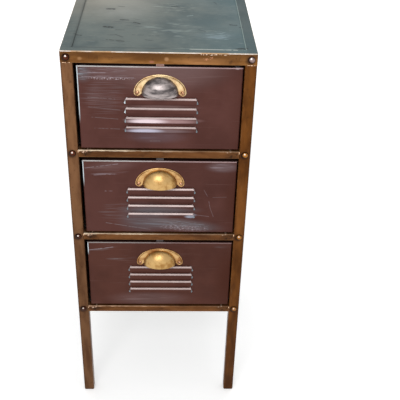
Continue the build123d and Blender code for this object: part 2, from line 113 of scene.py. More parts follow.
class Maths(Enum):
    """The sums that the finishes use, under Blender's names for them."""

    ADD = "ADD"
    LESS = "SUBTRACT"
    TIMES = "MULTIPLY"
    OVER = "DIVIDE"
    LEAST = "MINIMUM"
    MOST = "MAXIMUM"
    SIZE = "ABSOLUTE"


class Grain(Enum):
    """The fixed noises of the finishes, as grains per metre and layers of detail."""

    DRIFT = (6.0, 3.0)
    PATCHES = (14.0, 3.0)
    GLEAM = (24.0, 4.0)
    RUBBING = (45.0, 3.0)
    WANDER = (55.0, 5.0)
    FLAKES = (60.0, 5.0)
    CHIPS = (130.0, 4.0)
    SPECKS = (170.0, 3.0)
    BREAKS = (190.0, 3.0)
    ORANGE_PEEL = (260.0, 2.0)
    DIMPLES = (350.0, 2.0)


# ------------------------------------------------------------------ node trees


class Graph:
    """One node tree, with a short method for each kind of node that the finishes use."""

    def __init__(self, tree: Tree) -> None:
        """Keep the tree, emptied of what Blender puts in a new one."""
        self.tree = tree
        tree.nodes.clear()

    def node(
        self, kind: str, feeds: dict[str | int, Feed] | None = None, **settings: object
    ) -> bpy.types.Node:
        """Add a node.

        Args:
            kind: Blender's name for the node type.
            feeds: what goes into its inputs, by name or number, as a socket or a constant.
            settings: the node's own settings.

        Returns:
            The new node.
        """
        made = self.tree.nodes.new(kind)
        for name, value in settings.items():
            setattr(made, name, value)
        for name, value in (feeds or {}).items():
            self.feed(made.inputs[name], value)
        return made

    def feed(self, socket: Socket, value: Feed) -> None:
        """Link a socket to another, or set it to a constant, a colour with full alpha.

        Args:
            socket: the input.
            value: what goes into it.
        """
        if isinstance(value, Socket):
            self.tree.links.new(value, socket)
        else:
            socket.default_value = (*value, 1.0) if socket.type == "RGBA" else value

    def maths(self, operation: Maths, first: Feed, second: Feed = 0.0) -> Socket:
        """Return the sum, difference, product, ratio, least, most or size of numbers."""
        return self.node("ShaderNodeMath", {0: first, 1: second}, operation=operation.value).outputs[0]

    def times(self, first: Feed, *others: Feed) -> Socket:
        """Return the product of numbers.

        Args:
            first: the first number.
            others: the rest, in their order.

        Returns:
            The product.
        """
        for other in others:
            first = self.maths(Maths.TIMES, first, other)
        return first

    def vectors(self, operation: Maths, first: Feed, second: Feed = (0.0, 0.0, 0.0)) -> Socket:
        """Return the same of vectors, axis by axis."""
        feeds = {0: first, 1: second}
        return self.node("ShaderNodeVectorMath", feeds, operation=operation.value).outputs[0]

    def dot(self, first: Feed, second: Feed) -> Socket:
        """Return the dot product of two vectors."""
        feeds = {0: first, 1: second}
        return self.node("ShaderNodeVectorMath", feeds, operation="DOT_PRODUCT").outputs["Value"]

    def length(self, vector: Feed) -> Socket:
        """Return a vector's length."""
        return self.node("ShaderNodeVectorMath", {0: vector}, operation="LENGTH").outputs["Value"]

    def axes(self, vector: Feed) -> list[Socket]:
        """Return the X, Y and Z of a vector."""
        return list(self.node("ShaderNodeSeparateXYZ", {"Vector": vector}).outputs)

    def span(self, value: Feed, start: Feed, stop: Feed) -> Socket:
        """Return a number that rises smoothly from 0 at start to 1 at stop, either way round."""
        feeds = {"Value": value, "From Min": start, "From Max": stop}
        return self.node("ShaderNodeMapRange", feeds, interpolation_type="SMOOTHSTEP").outputs[0]

    def between(self, value: Feed, rise: Pair, fall: Pair) -> Socket:
        """Return a number that rises from 0 to 1 over one span of the value and falls again over another."""
        return self.times(self.span(value, *rise), self.span(value, *fall))

    def scaled(self, value: Feed, low: Feed, high: Feed) -> Socket:
        """Return a number from low to high for a value from 0 to 1."""
        return self.node("ShaderNodeMapRange", {"Value": value, "To Min": low, "To Max": high}).outputs[0]

    def blend(self, share: Feed, first: Feed, second: Feed) -> Socket:
        """Return a colour that goes from the first at share 0 to the second at share 1."""
        return self.node("ShaderNodeMix", {0: share, 6: first, 7: second}, data_type="RGBA").outputs[2]

    def stain(self, colour: Feed, tint: Feed, *shares: Feed) -> Socket:
        """Return a colour taken towards a tint by the product of the shares."""
        return self.blend(self.times(*shares), colour, tint)

    def noise(self, position: Feed, scale: float, detail: float) -> Socket:
        """Return soft noise about 0.5 whose grains are one part in scale of a metre."""
        feeds = {"Vector": position, "Scale": scale, "Detail": detail, "Roughness": 0.6}
        return self.node("ShaderNodeTexNoise", feeds).outputs[0]

    def position(self) -> Socket:
        """Return Object coordinates, which are the cabinet's own at rest."""
        return self.node("ShaderNodeTexCoord").outputs["Object"]

    def effect(self, tree: Tree, feeds: dict[str, Feed]) -> Socket:
        """Return the output of a shared effect, placed with the values given."""
        return self.node("ShaderNodeGroup", feeds, node_tree=tree).outputs[0]

    def group(self, result: Socket) -> Tree:
        """Put a group's result out of it and return its tree."""
        self.node("NodeGroupOutput", {"Result": result})
        return self.tree


def paint(red: float, green: float, blue: float) -> Colour:
    """Turn a screen colour into a linear one.

    The curve is the usual one: a straight foot up to 0.04045, then a power of 2.4.

    Args:
        red, green, blue: the screen colour, from 0 to 255.

    Returns:
        The linear colour, from 0 to 1.
    """
    screen = np.array([red, green, blue]) / 255
    linear = np.where(screen <= 0.04045, screen / 12.92, ((screen + 0.055) / 1.055) ** 2.4)
    return tuple(float(value) for value in linear)


class Effects:
    """Effects that more than one finish uses, each a node group made once."""

    def __init__(self) -> None:
        """Build the groups."""
        self.edge = self._edge()
        self.streaks = self._streaks()
        self.scuff_and_light = self._scuff_and_light()
        self.scratch = self._scratch()

    @staticmethod
    def _group(
        name: str, vectors: tuple[str, ...], numbers: tuple[str, ...] = ()
    ) -> tuple[Graph, list[Socket]]:
        """Begin a group.

        Args:
            name: the group's name.
            vectors: the names of its inputs that are vectors.
            numbers: the names of those that are numbers.

        Returns:
            The group's graph, and the sockets of its inputs in the order of their names.
        """
        tree = bpy.data.node_groups.new(name, "ShaderNodeTree")
        for labels, kind in ((vectors, "NodeSocketVector"), (numbers, "NodeSocketFloat")):
            for label in labels:
                tree.interface.new_socket(label, in_out="INPUT", socket_type=kind)
        tree.interface.new_socket("Result", in_out="OUTPUT", socket_type="NodeSocketFloat")
        graph = Graph(tree)
        given = graph.node("NodeGroupInput")
        return graph, [given.outputs[label] for label in vectors + numbers]

    def _edge(self) -> Tree:
        """Return the distance to the nearest edge of a box, for wear along a straight piece's edges.

        It is the middle one of the distances to the box's nearest faces along X, Y and Z.
        """
        graph, (position, low, high) = self._group("box_edge", ("Position", "Low", "High"))
        above = graph.vectors(Maths.LESS, position, low)
        below = graph.vectors(Maths.LESS, high, position)
        x, y, z = graph.axes(graph.vectors(Maths.LEAST, above, below))
        least = graph.maths(Maths.LEAST, x, y)
        most = graph.maths(Maths.MOST, x, y)
        return graph.group(graph.maths(Maths.MOST, least, graph.maths(Maths.LEAST, most, z)))

    def _streaks(self) -> Tree:
        """Return streaks of stretched noise: those above the given level show, with a soft border."""
        softness = 0.14
        graph, (position, stretch, level) = self._group("streaks", ("Position", "Stretch"), ("Level",))
        grain = graph.noise(graph.vectors(Maths.TIMES, position, stretch), 1.0, 5.0)
        return graph.group(graph.span(grain, level, graph.maths(Maths.ADD, level, softness)))

    def _scuff_and_light(self) -> Tree:
        """Return a patch, for worn scuffing and for painted light: streaks that fade out from its centre to
        the edge of its reach.

        The streaks' level rises with the distance from the centre, so the middle is covered most.
        """
        highest, fall, softness = 0.7, 0.2, 0.12
        names = ("Position", "Centre", "Reach", "Stretch", "Turn")
        graph, (position, centre, reach, stretch, turn, solid) = self._group("scuff_and_light", names, ("Solid",))
        feeds = {"Vector": graph.vectors(Maths.LESS, position, centre), "Rotation": turn}
        offset = graph.node("ShaderNodeVectorRotate", feeds, rotation_type="EULER_XYZ").outputs[0]
        fade = graph.span(graph.length(graph.vectors(Maths.OVER, offset, reach)), 1.0, 0.3)
        grain = graph.noise(graph.vectors(Maths.TIMES, offset, stretch), 1.0, 2.0)
        level = graph.maths(Maths.LESS, highest, graph.times(fade, fall))
        wear_and_glint = graph.span(grain, level, graph.maths(Maths.ADD, level, softness))
        return graph.group(graph.times(graph.scaled(solid, wear_and_glint, 1.0), fade))

    def _scratch(self) -> Tree:
        """Return a thin broken line from one point to another.

        The nearest point of the line is its start plus a share of its run, the share being the dot
        product of offset and run over the run's squared length, held between 0 and 1.
        """
        names = ("Position", "Start", "Run", "Plane")
        graph, (position, start, run, plane, width) = self._group("scratch", names, ("Width",))
        offset = graph.vectors(Maths.TIMES, graph.vectors(Maths.LESS, position, start), plane)
        share = graph.maths(Maths.OVER, graph.dot(offset, run), graph.dot(run, run))
        share = graph.maths(Maths.MOST, graph.maths(Maths.LEAST, share, 1.0), 0.0)
        nearest = graph.node("ShaderNodeVectorMath", {0: run, "Scale": share}, operation="SCALE").outputs[0]
        gap = graph.length(graph.vectors(Maths.LESS, offset, nearest))
        near = graph.span(gap, width, graph.times(width, 0.3))
        broken = graph.span(graph.noise(position, *Grain.BREAKS.value), 0.34, 0.5)
        return graph.group(graph.times(near, broken))


class Skin(Graph):
    """The node tree of one piece's new material, with the piece's box and the shared effects."""

    def __init__(self, name: str, effects: Effects, box: Box) -> None:
        """Make the material.

        Args:
            name: the material's name.
            effects: the shared node groups.
            box: the lowest and highest corner of the piece.
        """
        self.material = bpy.data.materials.new(name)
        self.material.use_nodes = True
        super().__init__(self.material.node_tree)
        self.effects = effects
        self.low, self.high = box
        self.middle = (self.low + self.high) / 2
        self.place = self.position()

    def grain(self, kind: Grain) -> Socket:
        """Return one of the named noises at the place on the piece."""
        return self.noise(self.place, *kind.value)

    def cloud(self, stretch: Triple, scale: float, detail: float) -> Socket:
        """Return noise at the place on the piece, drawn out along some axes."""
        return self.noise(self.vectors(Maths.TIMES, self.place, stretch), scale, detail)

    def streaked(self, colour: Feed, tint: Colour, stretch: Triple, level: float, depth: float) -> Socket:
        """Return a colour with streaks of a tint where stretched noise is above a level."""
        feeds = {"Position": self.place, "Stretch": stretch, "Level": level}
        return self.stain(colour, tint, self.effect(self.effects.streaks, feeds), depth)

    def bump(self, kind: Grain, strength: float, depth: float) -> Socket:
        """Return the surface's normal, made uneven by a noise."""
        feeds = {"Height": self.grain(kind), "Strength": strength, "Distance": depth}
        return self.node("ShaderNodeBump", feeds).outputs[0]


# ------------------------------------------------------------------ marks


@dataclass(frozen=True)
class ScuffAndLight:
    """A patch in a plane, in millimetres from the middle of its piece, for worn scuffing and for painted
    sheen, glints and shade.

    Its streaks have a fineness across and up, and lean by an angle in radians. How solid it is goes
    from 0, where only the streaks show, to 1, where it is a full patch.
    """

    across: float
    up: float
    wide: float
    tall: float
    colour: Colour
    strength: float
    fine_across: float = 14
    fine_up: float = 380
    solid: float = 0.0
    lean: float = 0.0

    def mask(self, skin: Skin, plane: Plane) -> Socket:
        """Find how far the patch covers the surface.

        Args:
            skin: the piece's node tree.
            plane: the face that the patch lies on.

        Returns:
            A number from 0 to 1.
        """
        feeds = {
            "Position": skin.place,
            "Centre": skin.middle + Vector(plane.point(self.across * MM, self.up * MM, 0.0)),
            "Reach": plane.point(self.wide * MM, self.tall * MM, 1.0),
            "Stretch": plane.point(self.fine_across, self.fine_up, 1.0),
            "Turn": (0.0, self.lean, 0.0),
            "Solid": self.solid,
        }
        return skin.effect(skin.effects.scuff_and_light, feeds)


@dataclass(frozen=True)
class Scratch:
    """A thin scratch in a plane, from one point to another, measured as a scuff is."""

    across: float
    up: float
    end_across: float
    end_up: float
    colour: Colour
    strength: float
    width: float

    def mask(self, skin: Skin, plane: Plane) -> Socket:
        """Find how far the scratch covers the surface.

        Args:
            skin: the piece's node tree.
            plane: the face that the scratch lies on.

        Returns:
            A number from 0 to 1.
        """
        start = Vector(plane.point(self.across * MM, self.up * MM, 0.0))
        end = Vector(plane.point(self.end_across * MM, self.end_up * MM, 0.0))
        feeds = {
            "Position": skin.place,
            "Start": skin.middle + start,
            "Run": end - start,
            "Plane": plane.point(1.0, 1.0, 0.0),
            "Width": self.width * MM,
        }
        return skin.effect(skin.effects.scratch, feeds)


# ------------------------------------------------------------------ finishes


@dataclass(frozen=True)
class Finish:
    """What a piece is painted or plated with."""

    label: str

    def material(self, effects: Effects, name: str, box: Box) -> Material:
        """Make the finish of one piece.

        Args:
            effects: the shared node groups.
            name: the piece that it is for.
            box: the lowest and highest corner of that piece.

        Returns:
            The new material.
        """
        skin = Skin(f"{self.label}.{name}", effects, box)
        shader = skin.node("ShaderNodeBsdfPrincipled", self.surface(skin))
        skin.node("ShaderNodeOutputMaterial", {"Surface": shader.outputs[0]})
        return skin.material

    def surface(self, skin: Skin) -> dict[str, Feed]:
        """Return what goes into the shader's sockets."""
        raise NotImplementedError


@dataclass(frozen=True)
class WornPaint(Finish):
    """Paint or lacquer on sheet metal: mottled, streaked, and worn through at the edges."""

    base: Colour
    shade: Colour
    worn: Colour
    metallic: float = 0.0
    roughness: float = 0.35
    specular: float = 0.5
    mottle: float = 22.0
    mottle_stretch: Triple = (1.0, 1.0, 1.0)
    mottle_span: Pair = (0.35, 0.68)
    stretch: Triple = (20.0, 20.0, 700.0)
    streak_level: float = 0.62
    streak_depth: float = 0.15
    edge_width: float = 1.2 * MM
    edge_depth: float = 0.6
    plane: Plane = Plane.FRONT
    scuffs_and_light: tuple[ScuffAndLight, ...] = ()
    scratches: tuple[Scratch, ...] = ()

    def surface(self, skin: Skin) -> dict[str, Feed]:
        """Build the paint.

        Args:
            skin: the piece's node tree.

        Returns:
            What goes into the shader's sockets.
        """
        cloud = skin.span(skin.cloud(self.mottle_stretch, self.mottle, 4.0), *self.mottle_span)
        colour = skin.blend(cloud, self.base, self.shade)
        colour = skin.streaked(colour, self.worn, self.stretch, self.streak_level, self.streak_depth)
        colour = self.add_wear_and_light(skin, colour)
        return {
            "Base Color": skin.stain(colour, self.worn, self._edge(skin), self.edge_depth),
            "Metallic": self.metallic,
            "Roughness": skin.scaled(cloud, self.roughness - 0.05, self.roughness + 0.06),
            "Specular IOR Level": self.specular,
            "Normal": skin.bump(Grain.ORANGE_PEEL, 0.06, 0.3 * MM),
        }

    def _edge(self, skin: Skin) -> Socket:
        """Find where the paint is rubbed off along the edges of the piece's box.

        Args:
            skin: the piece's node tree.

        Returns:
            How near the edge is, 0 to 1, with ragged chips.
        """
        feeds = {"Position": skin.place, "Low": skin.low, "High": skin.high}
        distance = skin.effect(skin.effects.edge, feeds)
        jitter = skin.scaled(skin.grain(Grain.CHIPS), -2.2 * self.edge_width, 2.2 * self.edge_width)
        ragged = skin.maths(Maths.ADD, distance, jitter)
        return skin.span(ragged, self.edge_width, 0.2 * self.edge_width)

    def add_wear_and_light(self, skin: Skin, colour: Feed) -> Feed:
        """Put this piece's own patches and scratches on it: worn scuffing, and on some pieces painted sheen,
        glints and shade.

        Args:
            skin: the piece's node tree.
            colour: the paint so far.

        Returns:
            The paint with its marks.
        """
        for mark in self.scuffs_and_light + self.scratches:
            colour = skin.stain(colour, mark.colour, mark.mask(skin, self.plane), mark.strength)
        return colour


@dataclass(frozen=True)
class FrameLacquer(WornPaint):
    """Bronze-brown lacquer of legs and rails, with a painted cream highlight along each rail's rounded top
    edge.

    The line wanders, and fades from left to right over a span of X. The colour goes from light to
    dark over a span of height, and is dark along the outer side.
    """

    # The line is a painted highlight on the rail's rounded top front edge.
    line: Colour = paint(226, 206, 178)
    line_width: float = 2.4 * MM
    line_depth: float = 0.9
    line_wander: float = 2.6 * MM
    line_fade: Pair = (-0.08, 0.06)
    line_left_over: float = 0.15
    dark: Colour = paint(59, 34, 14)
    fall: Pair = (0.0, 1.0)
    fall_depth: float = 0.0
    rim: Pair = (3.5 * MM, 0.4 * MM)
    rim_depth: float = 0.0
    speck_depth: float = 0.5

    def add_wear_and_light(self, skin: Skin, colour: Feed) -> Feed:
        """Darken the lacquer, and paint a highlight along a rail's rounded front top edge.

        Args:
            skin: the piece's node tree.
            colour: the lacquer so far.

        Returns:
            The lacquer with its specks, line and marks.
        """
        across, along, height = skin.axes(skin.place)
        colour = skin.stain(colour, self.dark, skin.span(height, *self.fall), self.fall_depth)
        side = max(abs(skin.low.x), abs(skin.high.x))
        outer = skin.maths(Maths.LESS, side, skin.maths(Maths.SIZE, across))
        colour = skin.stain(colour, self.dark, skin.span(outer, *self.rim), self.rim_depth)
        specks = skin.span(skin.grain(Grain.SPECKS), 0.64, 0.7)
        colour = skin.stain(colour, self.dark, specks, self.speck_depth)
        # Painted highlight along the front top edge, wandering and in patches.
        behind = skin.maths(Maths.LESS, along, skin.low.y)
        below = skin.maths(Maths.LESS, skin.high.z, height)
        wander = skin.scaled(skin.grain(Grain.WANDER), -self.line_wander, self.line_wander)
        away = skin.maths(Maths.ADD, skin.maths(Maths.MOST, behind, below), wander)
        near = skin.span(away, self.line_width, 0.3 * self.line_width)
        patchy = skin.scaled(skin.span(skin.grain(Grain.PATCHES), 0.34, 0.54), 0.5, 1.0)
        faded = skin.scaled(skin.span(across, *self.line_fade), 1.0, self.line_left_over)
        colour = skin.stain(colour, self.line, near, patchy, faded, self.line_depth)
        return super().add_wear_and_light(skin, colour)


@dataclass(frozen=True)
class TopLacquer(WornPaint):
    """Slate lacquer of the top, with a painted reflection that is cooler on the right and warmer at the back
    left, and a worn front edge that carries a painted highlight.
    """

    # The first four fields tint a painted reflection across the top; rim and rim_shade are a painted
    # highlight on the front edge.
    warm_reflection: Colour = paint(152, 146, 132)
    warm_reflection_depth: float = 0.85
    cool: Colour = paint(72, 98, 103)
    cool_depth: float = 0.75
    drift: float = 0.09
    rim: Colour = paint(255, 242, 230)
    rim_shade: Colour = paint(222, 168, 116)
    rim_span: Pair = (2.4 * MM, 0.2 * MM)
    rim_depth: float = 0.97
    strip_depth: float = 0.3
    strip_rise: float = 0.28
    groove: Colour = paint(44, 52, 50)
    groove_glint: Colour = paint(150, 165, 160)
    groove_inset: float = 18.0 * MM
    groove_width: float = 0.9 * MM
    groove_depth: float = 0.7
    shadow_width: float = 5.0 * MM
    shadow_depth: float = 0.4
    strokes: tuple[tuple[Colour, Triple, float, float], ...] = (
        (paint(66, 76, 74), (34.0, 300.0, 1.0), 0.56, 0.4),
        (paint(146, 158, 158), (48.0, 260.0, 1.0), 0.6, 0.3),
    )

    def add_wear_and_light(self, skin: Skin, colour: Feed) -> Feed:
        """Cloud the lacquer with a painted reflection, mark it, draw the pressed step, and bare the front
        edge and paint a highlight along it.

        Args:
            skin: the piece's node tree.
            colour: the lacquer so far.

        Returns:
            The lacquer with all of these.
        """
        across, along, _ = skin.axes(skin.place)
        # Painted reflection: cooler to the right, warmer at the back left.
        drift = skin.scaled(skin.grain(Grain.DRIFT), -self.drift, self.drift)
        side = skin.maths(Maths.ADD, across, drift)
        colour = skin.stain(colour, self.cool, skin.span(side, 0.0, skin.high.x), self.cool_depth)
        back = skin.span(skin.maths(Maths.ADD, along, drift), skin.low.y + 0.10, skin.high.y)
        colour = skin.stain(colour, self.warm_reflection, back, skin.span(side, 0.05, -0.10), self.warm_reflection_depth)
        for tint, stretch, level, depth in self.strokes:
            colour = skin.streaked(colour, tint, stretch, level, depth)
        colour = self._stepped(skin, super().add_wear_and_light(skin, colour), across, along)
        # Painted highlight along the bare front edge, in broken patches.
        front = skin.span(along, *(skin.low.y + end for end in self.rim_span))
        flaked = skin.span(skin.grain(Grain.FLAKES), 0.3, 0.42)
        bright = skin.span(skin.grain(Grain.GLEAM), 0.36, 0.54)
        return skin.stain(colour, skin.blend(bright, self.rim_shade, self.rim), front, flaked, self.rim_depth)

    def _stepped(self, skin: Skin, colour: Feed, across: Socket, along: Socket) -> Feed:
        """Draw the line of the pressed step, with painted shade on the left and a painted glint on the right.

        Args:
            skin: the piece's node tree.
            colour: the lacquer so far.
            across: the X of the place.
            along: the Y of the place.

        Returns:
            The lacquer with the line, its painted soft shadow and the darker strip outside it.
        """
        offset = skin.vectors(Maths.LESS, skin.place, skin.middle)
        size_x, size_y, _ = skin.axes(skin.vectors(Maths.SIZE, offset))
        half = (skin.high - skin.low) / 2
        line_x = skin.maths(Maths.LESS, size_x, half.x - self.groove_inset)
        line_y = skin.maths(Maths.LESS, size_y, half.y - self.groove_inset)
        right = skin.scaled(skin.span(across, -0.1, 0.1), 0.0, self.strip_depth)
        rise = skin.scaled(skin.span(along, skin.low.y, skin.low.y + 0.2), 0.0, self.strip_rise)
        outside = skin.span(line_x, 0.0, 1.0 * MM)
        colour = skin.stain(colour, self.groove, outside, skin.maths(Maths.ADD, right, rise))
        # Painted soft shadow inside the step on the left, then the step line with painted shade on the left
        # and a painted glint on the right.
        ring = skin.maths(Maths.SIZE, skin.maths(Maths.MOST, line_x, line_y))
        left = skin.scaled(skin.span(across, 0.05, -0.05), 0.0, self.shadow_depth)
        colour = skin.stain(colour, self.groove, skin.span(ring, self.shadow_width, 0.0), left)
        width = skin.scaled(skin.span(line_y, -2.0 * MM, 0.0), self.groove_width, 2.2 * self.groove_width)
        line = skin.span(ring, width, skin.times(width, 0.2))
        tint = skin.blend(skin.span(across, 0.0, 0.05), self.groove, self.groove_glint)
        return skin.stain(colour, tint, line, self.groove_depth)


@dataclass(frozen=True)
class DrawerEnamel(WornPaint):
    """Maroon enamel of a drawer front, with painted highlights and reflections where the sheet bends up and
    outwards.

    Each facing is how far the surface looks sideways or up where its painted bend highlight begins and ends.
    """

    # The ridge, louvre end, side bend and top bend colours are painted highlights and reflections; the gap
    # colour darkens the flat top return, partly dirty and partly painted shade.
    ridge: Colour = paint(252, 230, 226)
    ridge_depth: float = 0.85
    ridge_facing: tuple[Pair, Pair] = ((0.2, 0.6), (1.0, 0.8))
    louvre_end: Colour = paint(150, 178, 188)
    louvre_depth: float = 0.6
    louvre_half: float = 72.0 * MM
    side_bend: Colour = paint(232, 246, 252)
    side_bend_depth: float = 0.95
    side_bend_span: Pair = (-0.02, 0.01)
    side_facing: tuple[Pair, Pair] = ((0.2, 0.5), (0.99, 0.85))
    top_bend: Colour = paint(240, 240, 238)
    top_bend_right: Colour = paint(206, 176, 176)
    top_bend_depth: float = 0.85
    top_facing: tuple[Pair, Pair] = ((0.4, 0.7), (0.99, 0.9))
    gap_dirt_and_shade: Colour = paint(30, 18, 16)
    gap_dirt_and_shade_depth: float = 0.8
    bend: float = 3.0 * MM

    def add_wear_and_light(self, skin: Skin, colour: Feed) -> Feed:
        """Mark the enamel, and paint highlights and reflections on the bends that face up or sideways.

        A painted bend highlight shows where the surface faces partly up, between the upright face and the
        flat return, or partly sideways: on the louvres both ways, and on the upper part of the front's
        left side. The flat return along the top is darkened, partly dirty and partly painted shade.

        Args:
            skin: the piece's node tree.
            colour: the enamel so far.

        Returns:
            The enamel with its marks, painted bend highlights and painted shade.
        """
        colour = super().add_wear_and_light(skin, colour)
        face_x, _, face_z = skin.axes(skin.node("ShaderNodeNewGeometry").outputs["Normal"])
        across, _, height = skin.axes(skin.place)
        # Painted reflections on the louvre ends and on the upper left side bend.
        bent = skin.between(skin.maths(Maths.SIZE, face_x), *self.side_facing)
        offset = skin.maths(Maths.LESS, across, skin.middle.x)
        louvres = skin.span(skin.maths(Maths.SIZE, offset), self.louvre_half, 0.9 * self.louvre_half)
        colour = skin.stain(colour, self.louvre_end, bent, louvres, self.louvre_depth)
        left = skin.span(face_x, 0.0, -0.1)
        high_up = skin.span(height, *(skin.middle.z + end for end in self.side_bend_span))
        colour = skin.stain(colour, self.side_bend, bent, left, high_up, self.side_bend_depth)
        # Painted highlights on the louvre ridges and the top bend, broken into patches.
        patchy = skin.scaled(skin.grain(Grain.RUBBING), 0.6, 1.15)
        ridges = skin.times(skin.between(face_z, *self.ridge_facing), patchy, self.ridge_depth)
        edge = skin.times(skin.between(face_z, *self.top_facing), patchy, self.top_bend_depth)
        at_top = skin.span(height, skin.high.z - 2.0 * self.bend, skin.high.z - 1.5 * self.bend)
        top_tint = skin.blend(skin.span(offset, -0.08, 0.06), self.top_bend, self.top_bend_right)
        tint = skin.blend(at_top, self.ridge, top_tint)
        colour = skin.stain(colour, tint, skin.scaled(at_top, ridges, edge))
        # The flat top return is darker: partly dirty, partly painted shade under the rail.
        return skin.stain(colour, self.gap_dirt_and_shade, skin.span(face_z, 0.985, 1.0), at_top, self.gap_dirt_and_shade_depth)


@dataclass(frozen=True)
class AgedMetal(Finish):
    """Bare or plated metal with cloudy tarnish, and painted shade where it turns away from one fixed
    direction.

    The painted shade darkens towards the outline as seen from that direction, and grows as the cosine to it
    falls over a span.
    """

    base: Colour
    tarnish: Colour
    roughness: float = 0.32
    metallic: float = 1.0
    cloud_scale: float = 60.0
    cloud_span: Pair = (0.42, 0.66)
    cloud_stretch: Triple = (1.0, 1.0, 1.0)
    coat: float = 0.0
    rim_shade: float = 0.0
    rim_colour: Colour = paint(93, 58, 27)
    outline_from: Triple = (0.0, -0.81, 0.59)
    outline_span: Pair = (0.726, 0.036)

    def surface(self, skin: Skin) -> dict[str, Feed]:
        """Build the metal.

        Args:
            skin: the piece's node tree.

        Returns:
            What goes into the shader's sockets.
        """
        cloud = skin.span(skin.cloud(self.cloud_stretch, self.cloud_scale, 5.0), *self.cloud_span)
        colour = self.tint(skin, skin.blend(cloud, self.base, self.tarnish))
        # Painted shade towards the outline, by how far the surface turns from a fixed direction.
        normal = skin.node("ShaderNodeNewGeometry").outputs["Normal"]
        turned_away = skin.span(skin.dot(normal, self.outline_from), *self.outline_span)
        return {
            "Base Color": skin.stain(colour, self.rim_colour, turned_away, self.rim_shade),
            "Metallic": self.metallic,
            "Roughness": skin.scaled(cloud, self.roughness - 0.04, self.roughness + 0.12),
            "Coat Weight": self.coat,
            "Coat Roughness": 0.05,
            "Coat IOR": 1.7,
            "Normal": skin.bump(Grain.DIMPLES, 0.08, 0.4 * MM),
        }

    def tint(self, skin: Skin, colour: Feed) -> Feed:
        """Return the colour as it is: a plain metal has no further marks."""
        return colour


@dataclass(frozen=True)
class BoltMetal(AgedMetal):
    """Bolt metal, blackened on the left of the cabinet and worn bright on the right.

    Each dome has painted shade at its lower left, is darker round its sides and has a painted glint near its
    crown.
    """

    right: Colour = paint(154, 101, 43)
    highest: Colour = paint(133, 113, 110)
    # The next three paint a glint near the crown, shade at the lower left and a darker band round the sides.
    wear_and_glint: Colour = paint(212, 204, 196)
    lower_shade: Colour = paint(70, 33, 15)
    dark_tint: Colour = paint(28, 13, 7)
    low_at: float = 0.3
    high_at: float = 0.74

    def tint(self, skin: Skin, colour: Feed) -> Feed:
        """Brighten the right-hand bolts, and paint shade and a glint on each dome by the dot product of
        normal and direction.

        Args:
            skin: the bolts' node tree.
            colour: the metal so far.

        Returns:
            The metal with its shades.
        """
        across, _, height = skin.axes(skin.place)
        share = skin.times(skin.span(across, -0.05, 0.05), skin.span(height, 0.0, self.low_at))
        colour = skin.stain(colour, self.right, share)
        colour = skin.stain(colour, self.highest, share, skin.span(height, self.high_at - 0.1, self.high_at))
        normal = skin.node("ShaderNodeNewGeometry").outputs["Normal"]
        # Painted shade at the lower left, a darker band round the sides and a painted glint near the crown.
        for toward, start, stop, depth, shade in (
            ((-0.45, -0.5, -0.74), 0.56, 0.84, 0.85, self.lower_shade),
            ((0.12, -0.98, 0.16), 0.93, 0.72, 0.92, self.dark_tint),
            ((-0.05, -0.95, 0.31), 0.975, 0.997, 0.9, self.wear_and_glint),
        ):
            colour = skin.stain(colour, shade, skin.span(skin.dot(normal, toward), start, stop), depth)
        return colour


@dataclass(frozen=True)
class RimmedMetal(AgedMetal):
    """Pull metal with a dark tint in the groove that follows its rim."""

    dark_tint: Colour = paint(58, 35, 22)
    dirt_depth: float = 0.75
    groove: float = 2.3 * MM
    groove_width: float = 0.9 * MM

    def tint(self, skin: Skin, colour: Feed) -> Feed:
        """Darken the groove, found by the distance from the rim that is kept on the mesh.

        Args:
            skin: the flange's node tree.
            colour: the metal so far.

        Returns:
            The metal with its dirty groove.
        """
        rim = skin.node("ShaderNodeAttribute", attribute_name="rim").outputs["Fac"]
        away = skin.maths(Maths.SIZE, skin.maths(Maths.LESS, rim, self.groove))
        share = skin.span(away, self.groove_width, 0.2 * self.groove_width)
        return skin.stain(colour, self.dark_tint, share, self.dirt_depth)


# ------------------------------------------------------------------ surfaces


def quads_between(rings: int, sides: int) -> np.ndarray:
    """Join a grid of closed rings.

    A point's number is ring times sides plus side, and the last side joins the first.

    Args:
        rings: how many rings there are.
        sides: how many points each has.

    Returns:
        The quads, as rows of four point numbers.
    """
    ring = np.arange(rings - 1)[:, None] * sides
    side = np.arange(sides)[None, :]
    after = (side + 1) % sides
    return np.stack([ring + side, ring + after, ring + sides + after, ring + sides + side], -1).reshape(-1, 4)


def turned(profile: np.ndarray, centre: Vector, sides: int) -> np.ndarray:
    """Turn a profile round an axis that runs along Y.

    Args:
        profile: rows of (radius, distance along Y), from one pole to the other.
        centre: where the profile's zero lies.
        sides: points round the axis.

    Returns:
        Points in rings: X is radius times cosine, Z is radius times sine.
    """
    turn = np.linspace(0, 2 * np.pi, sides, endpoint=False)[None, :]
    radius, along = profile[:, :1], profile[:, 1:]
    points = np.stack([radius * np.cos(turn), along + 0 * turn, radius * np.sin(turn)], -1)
    return points + np.array(centre)


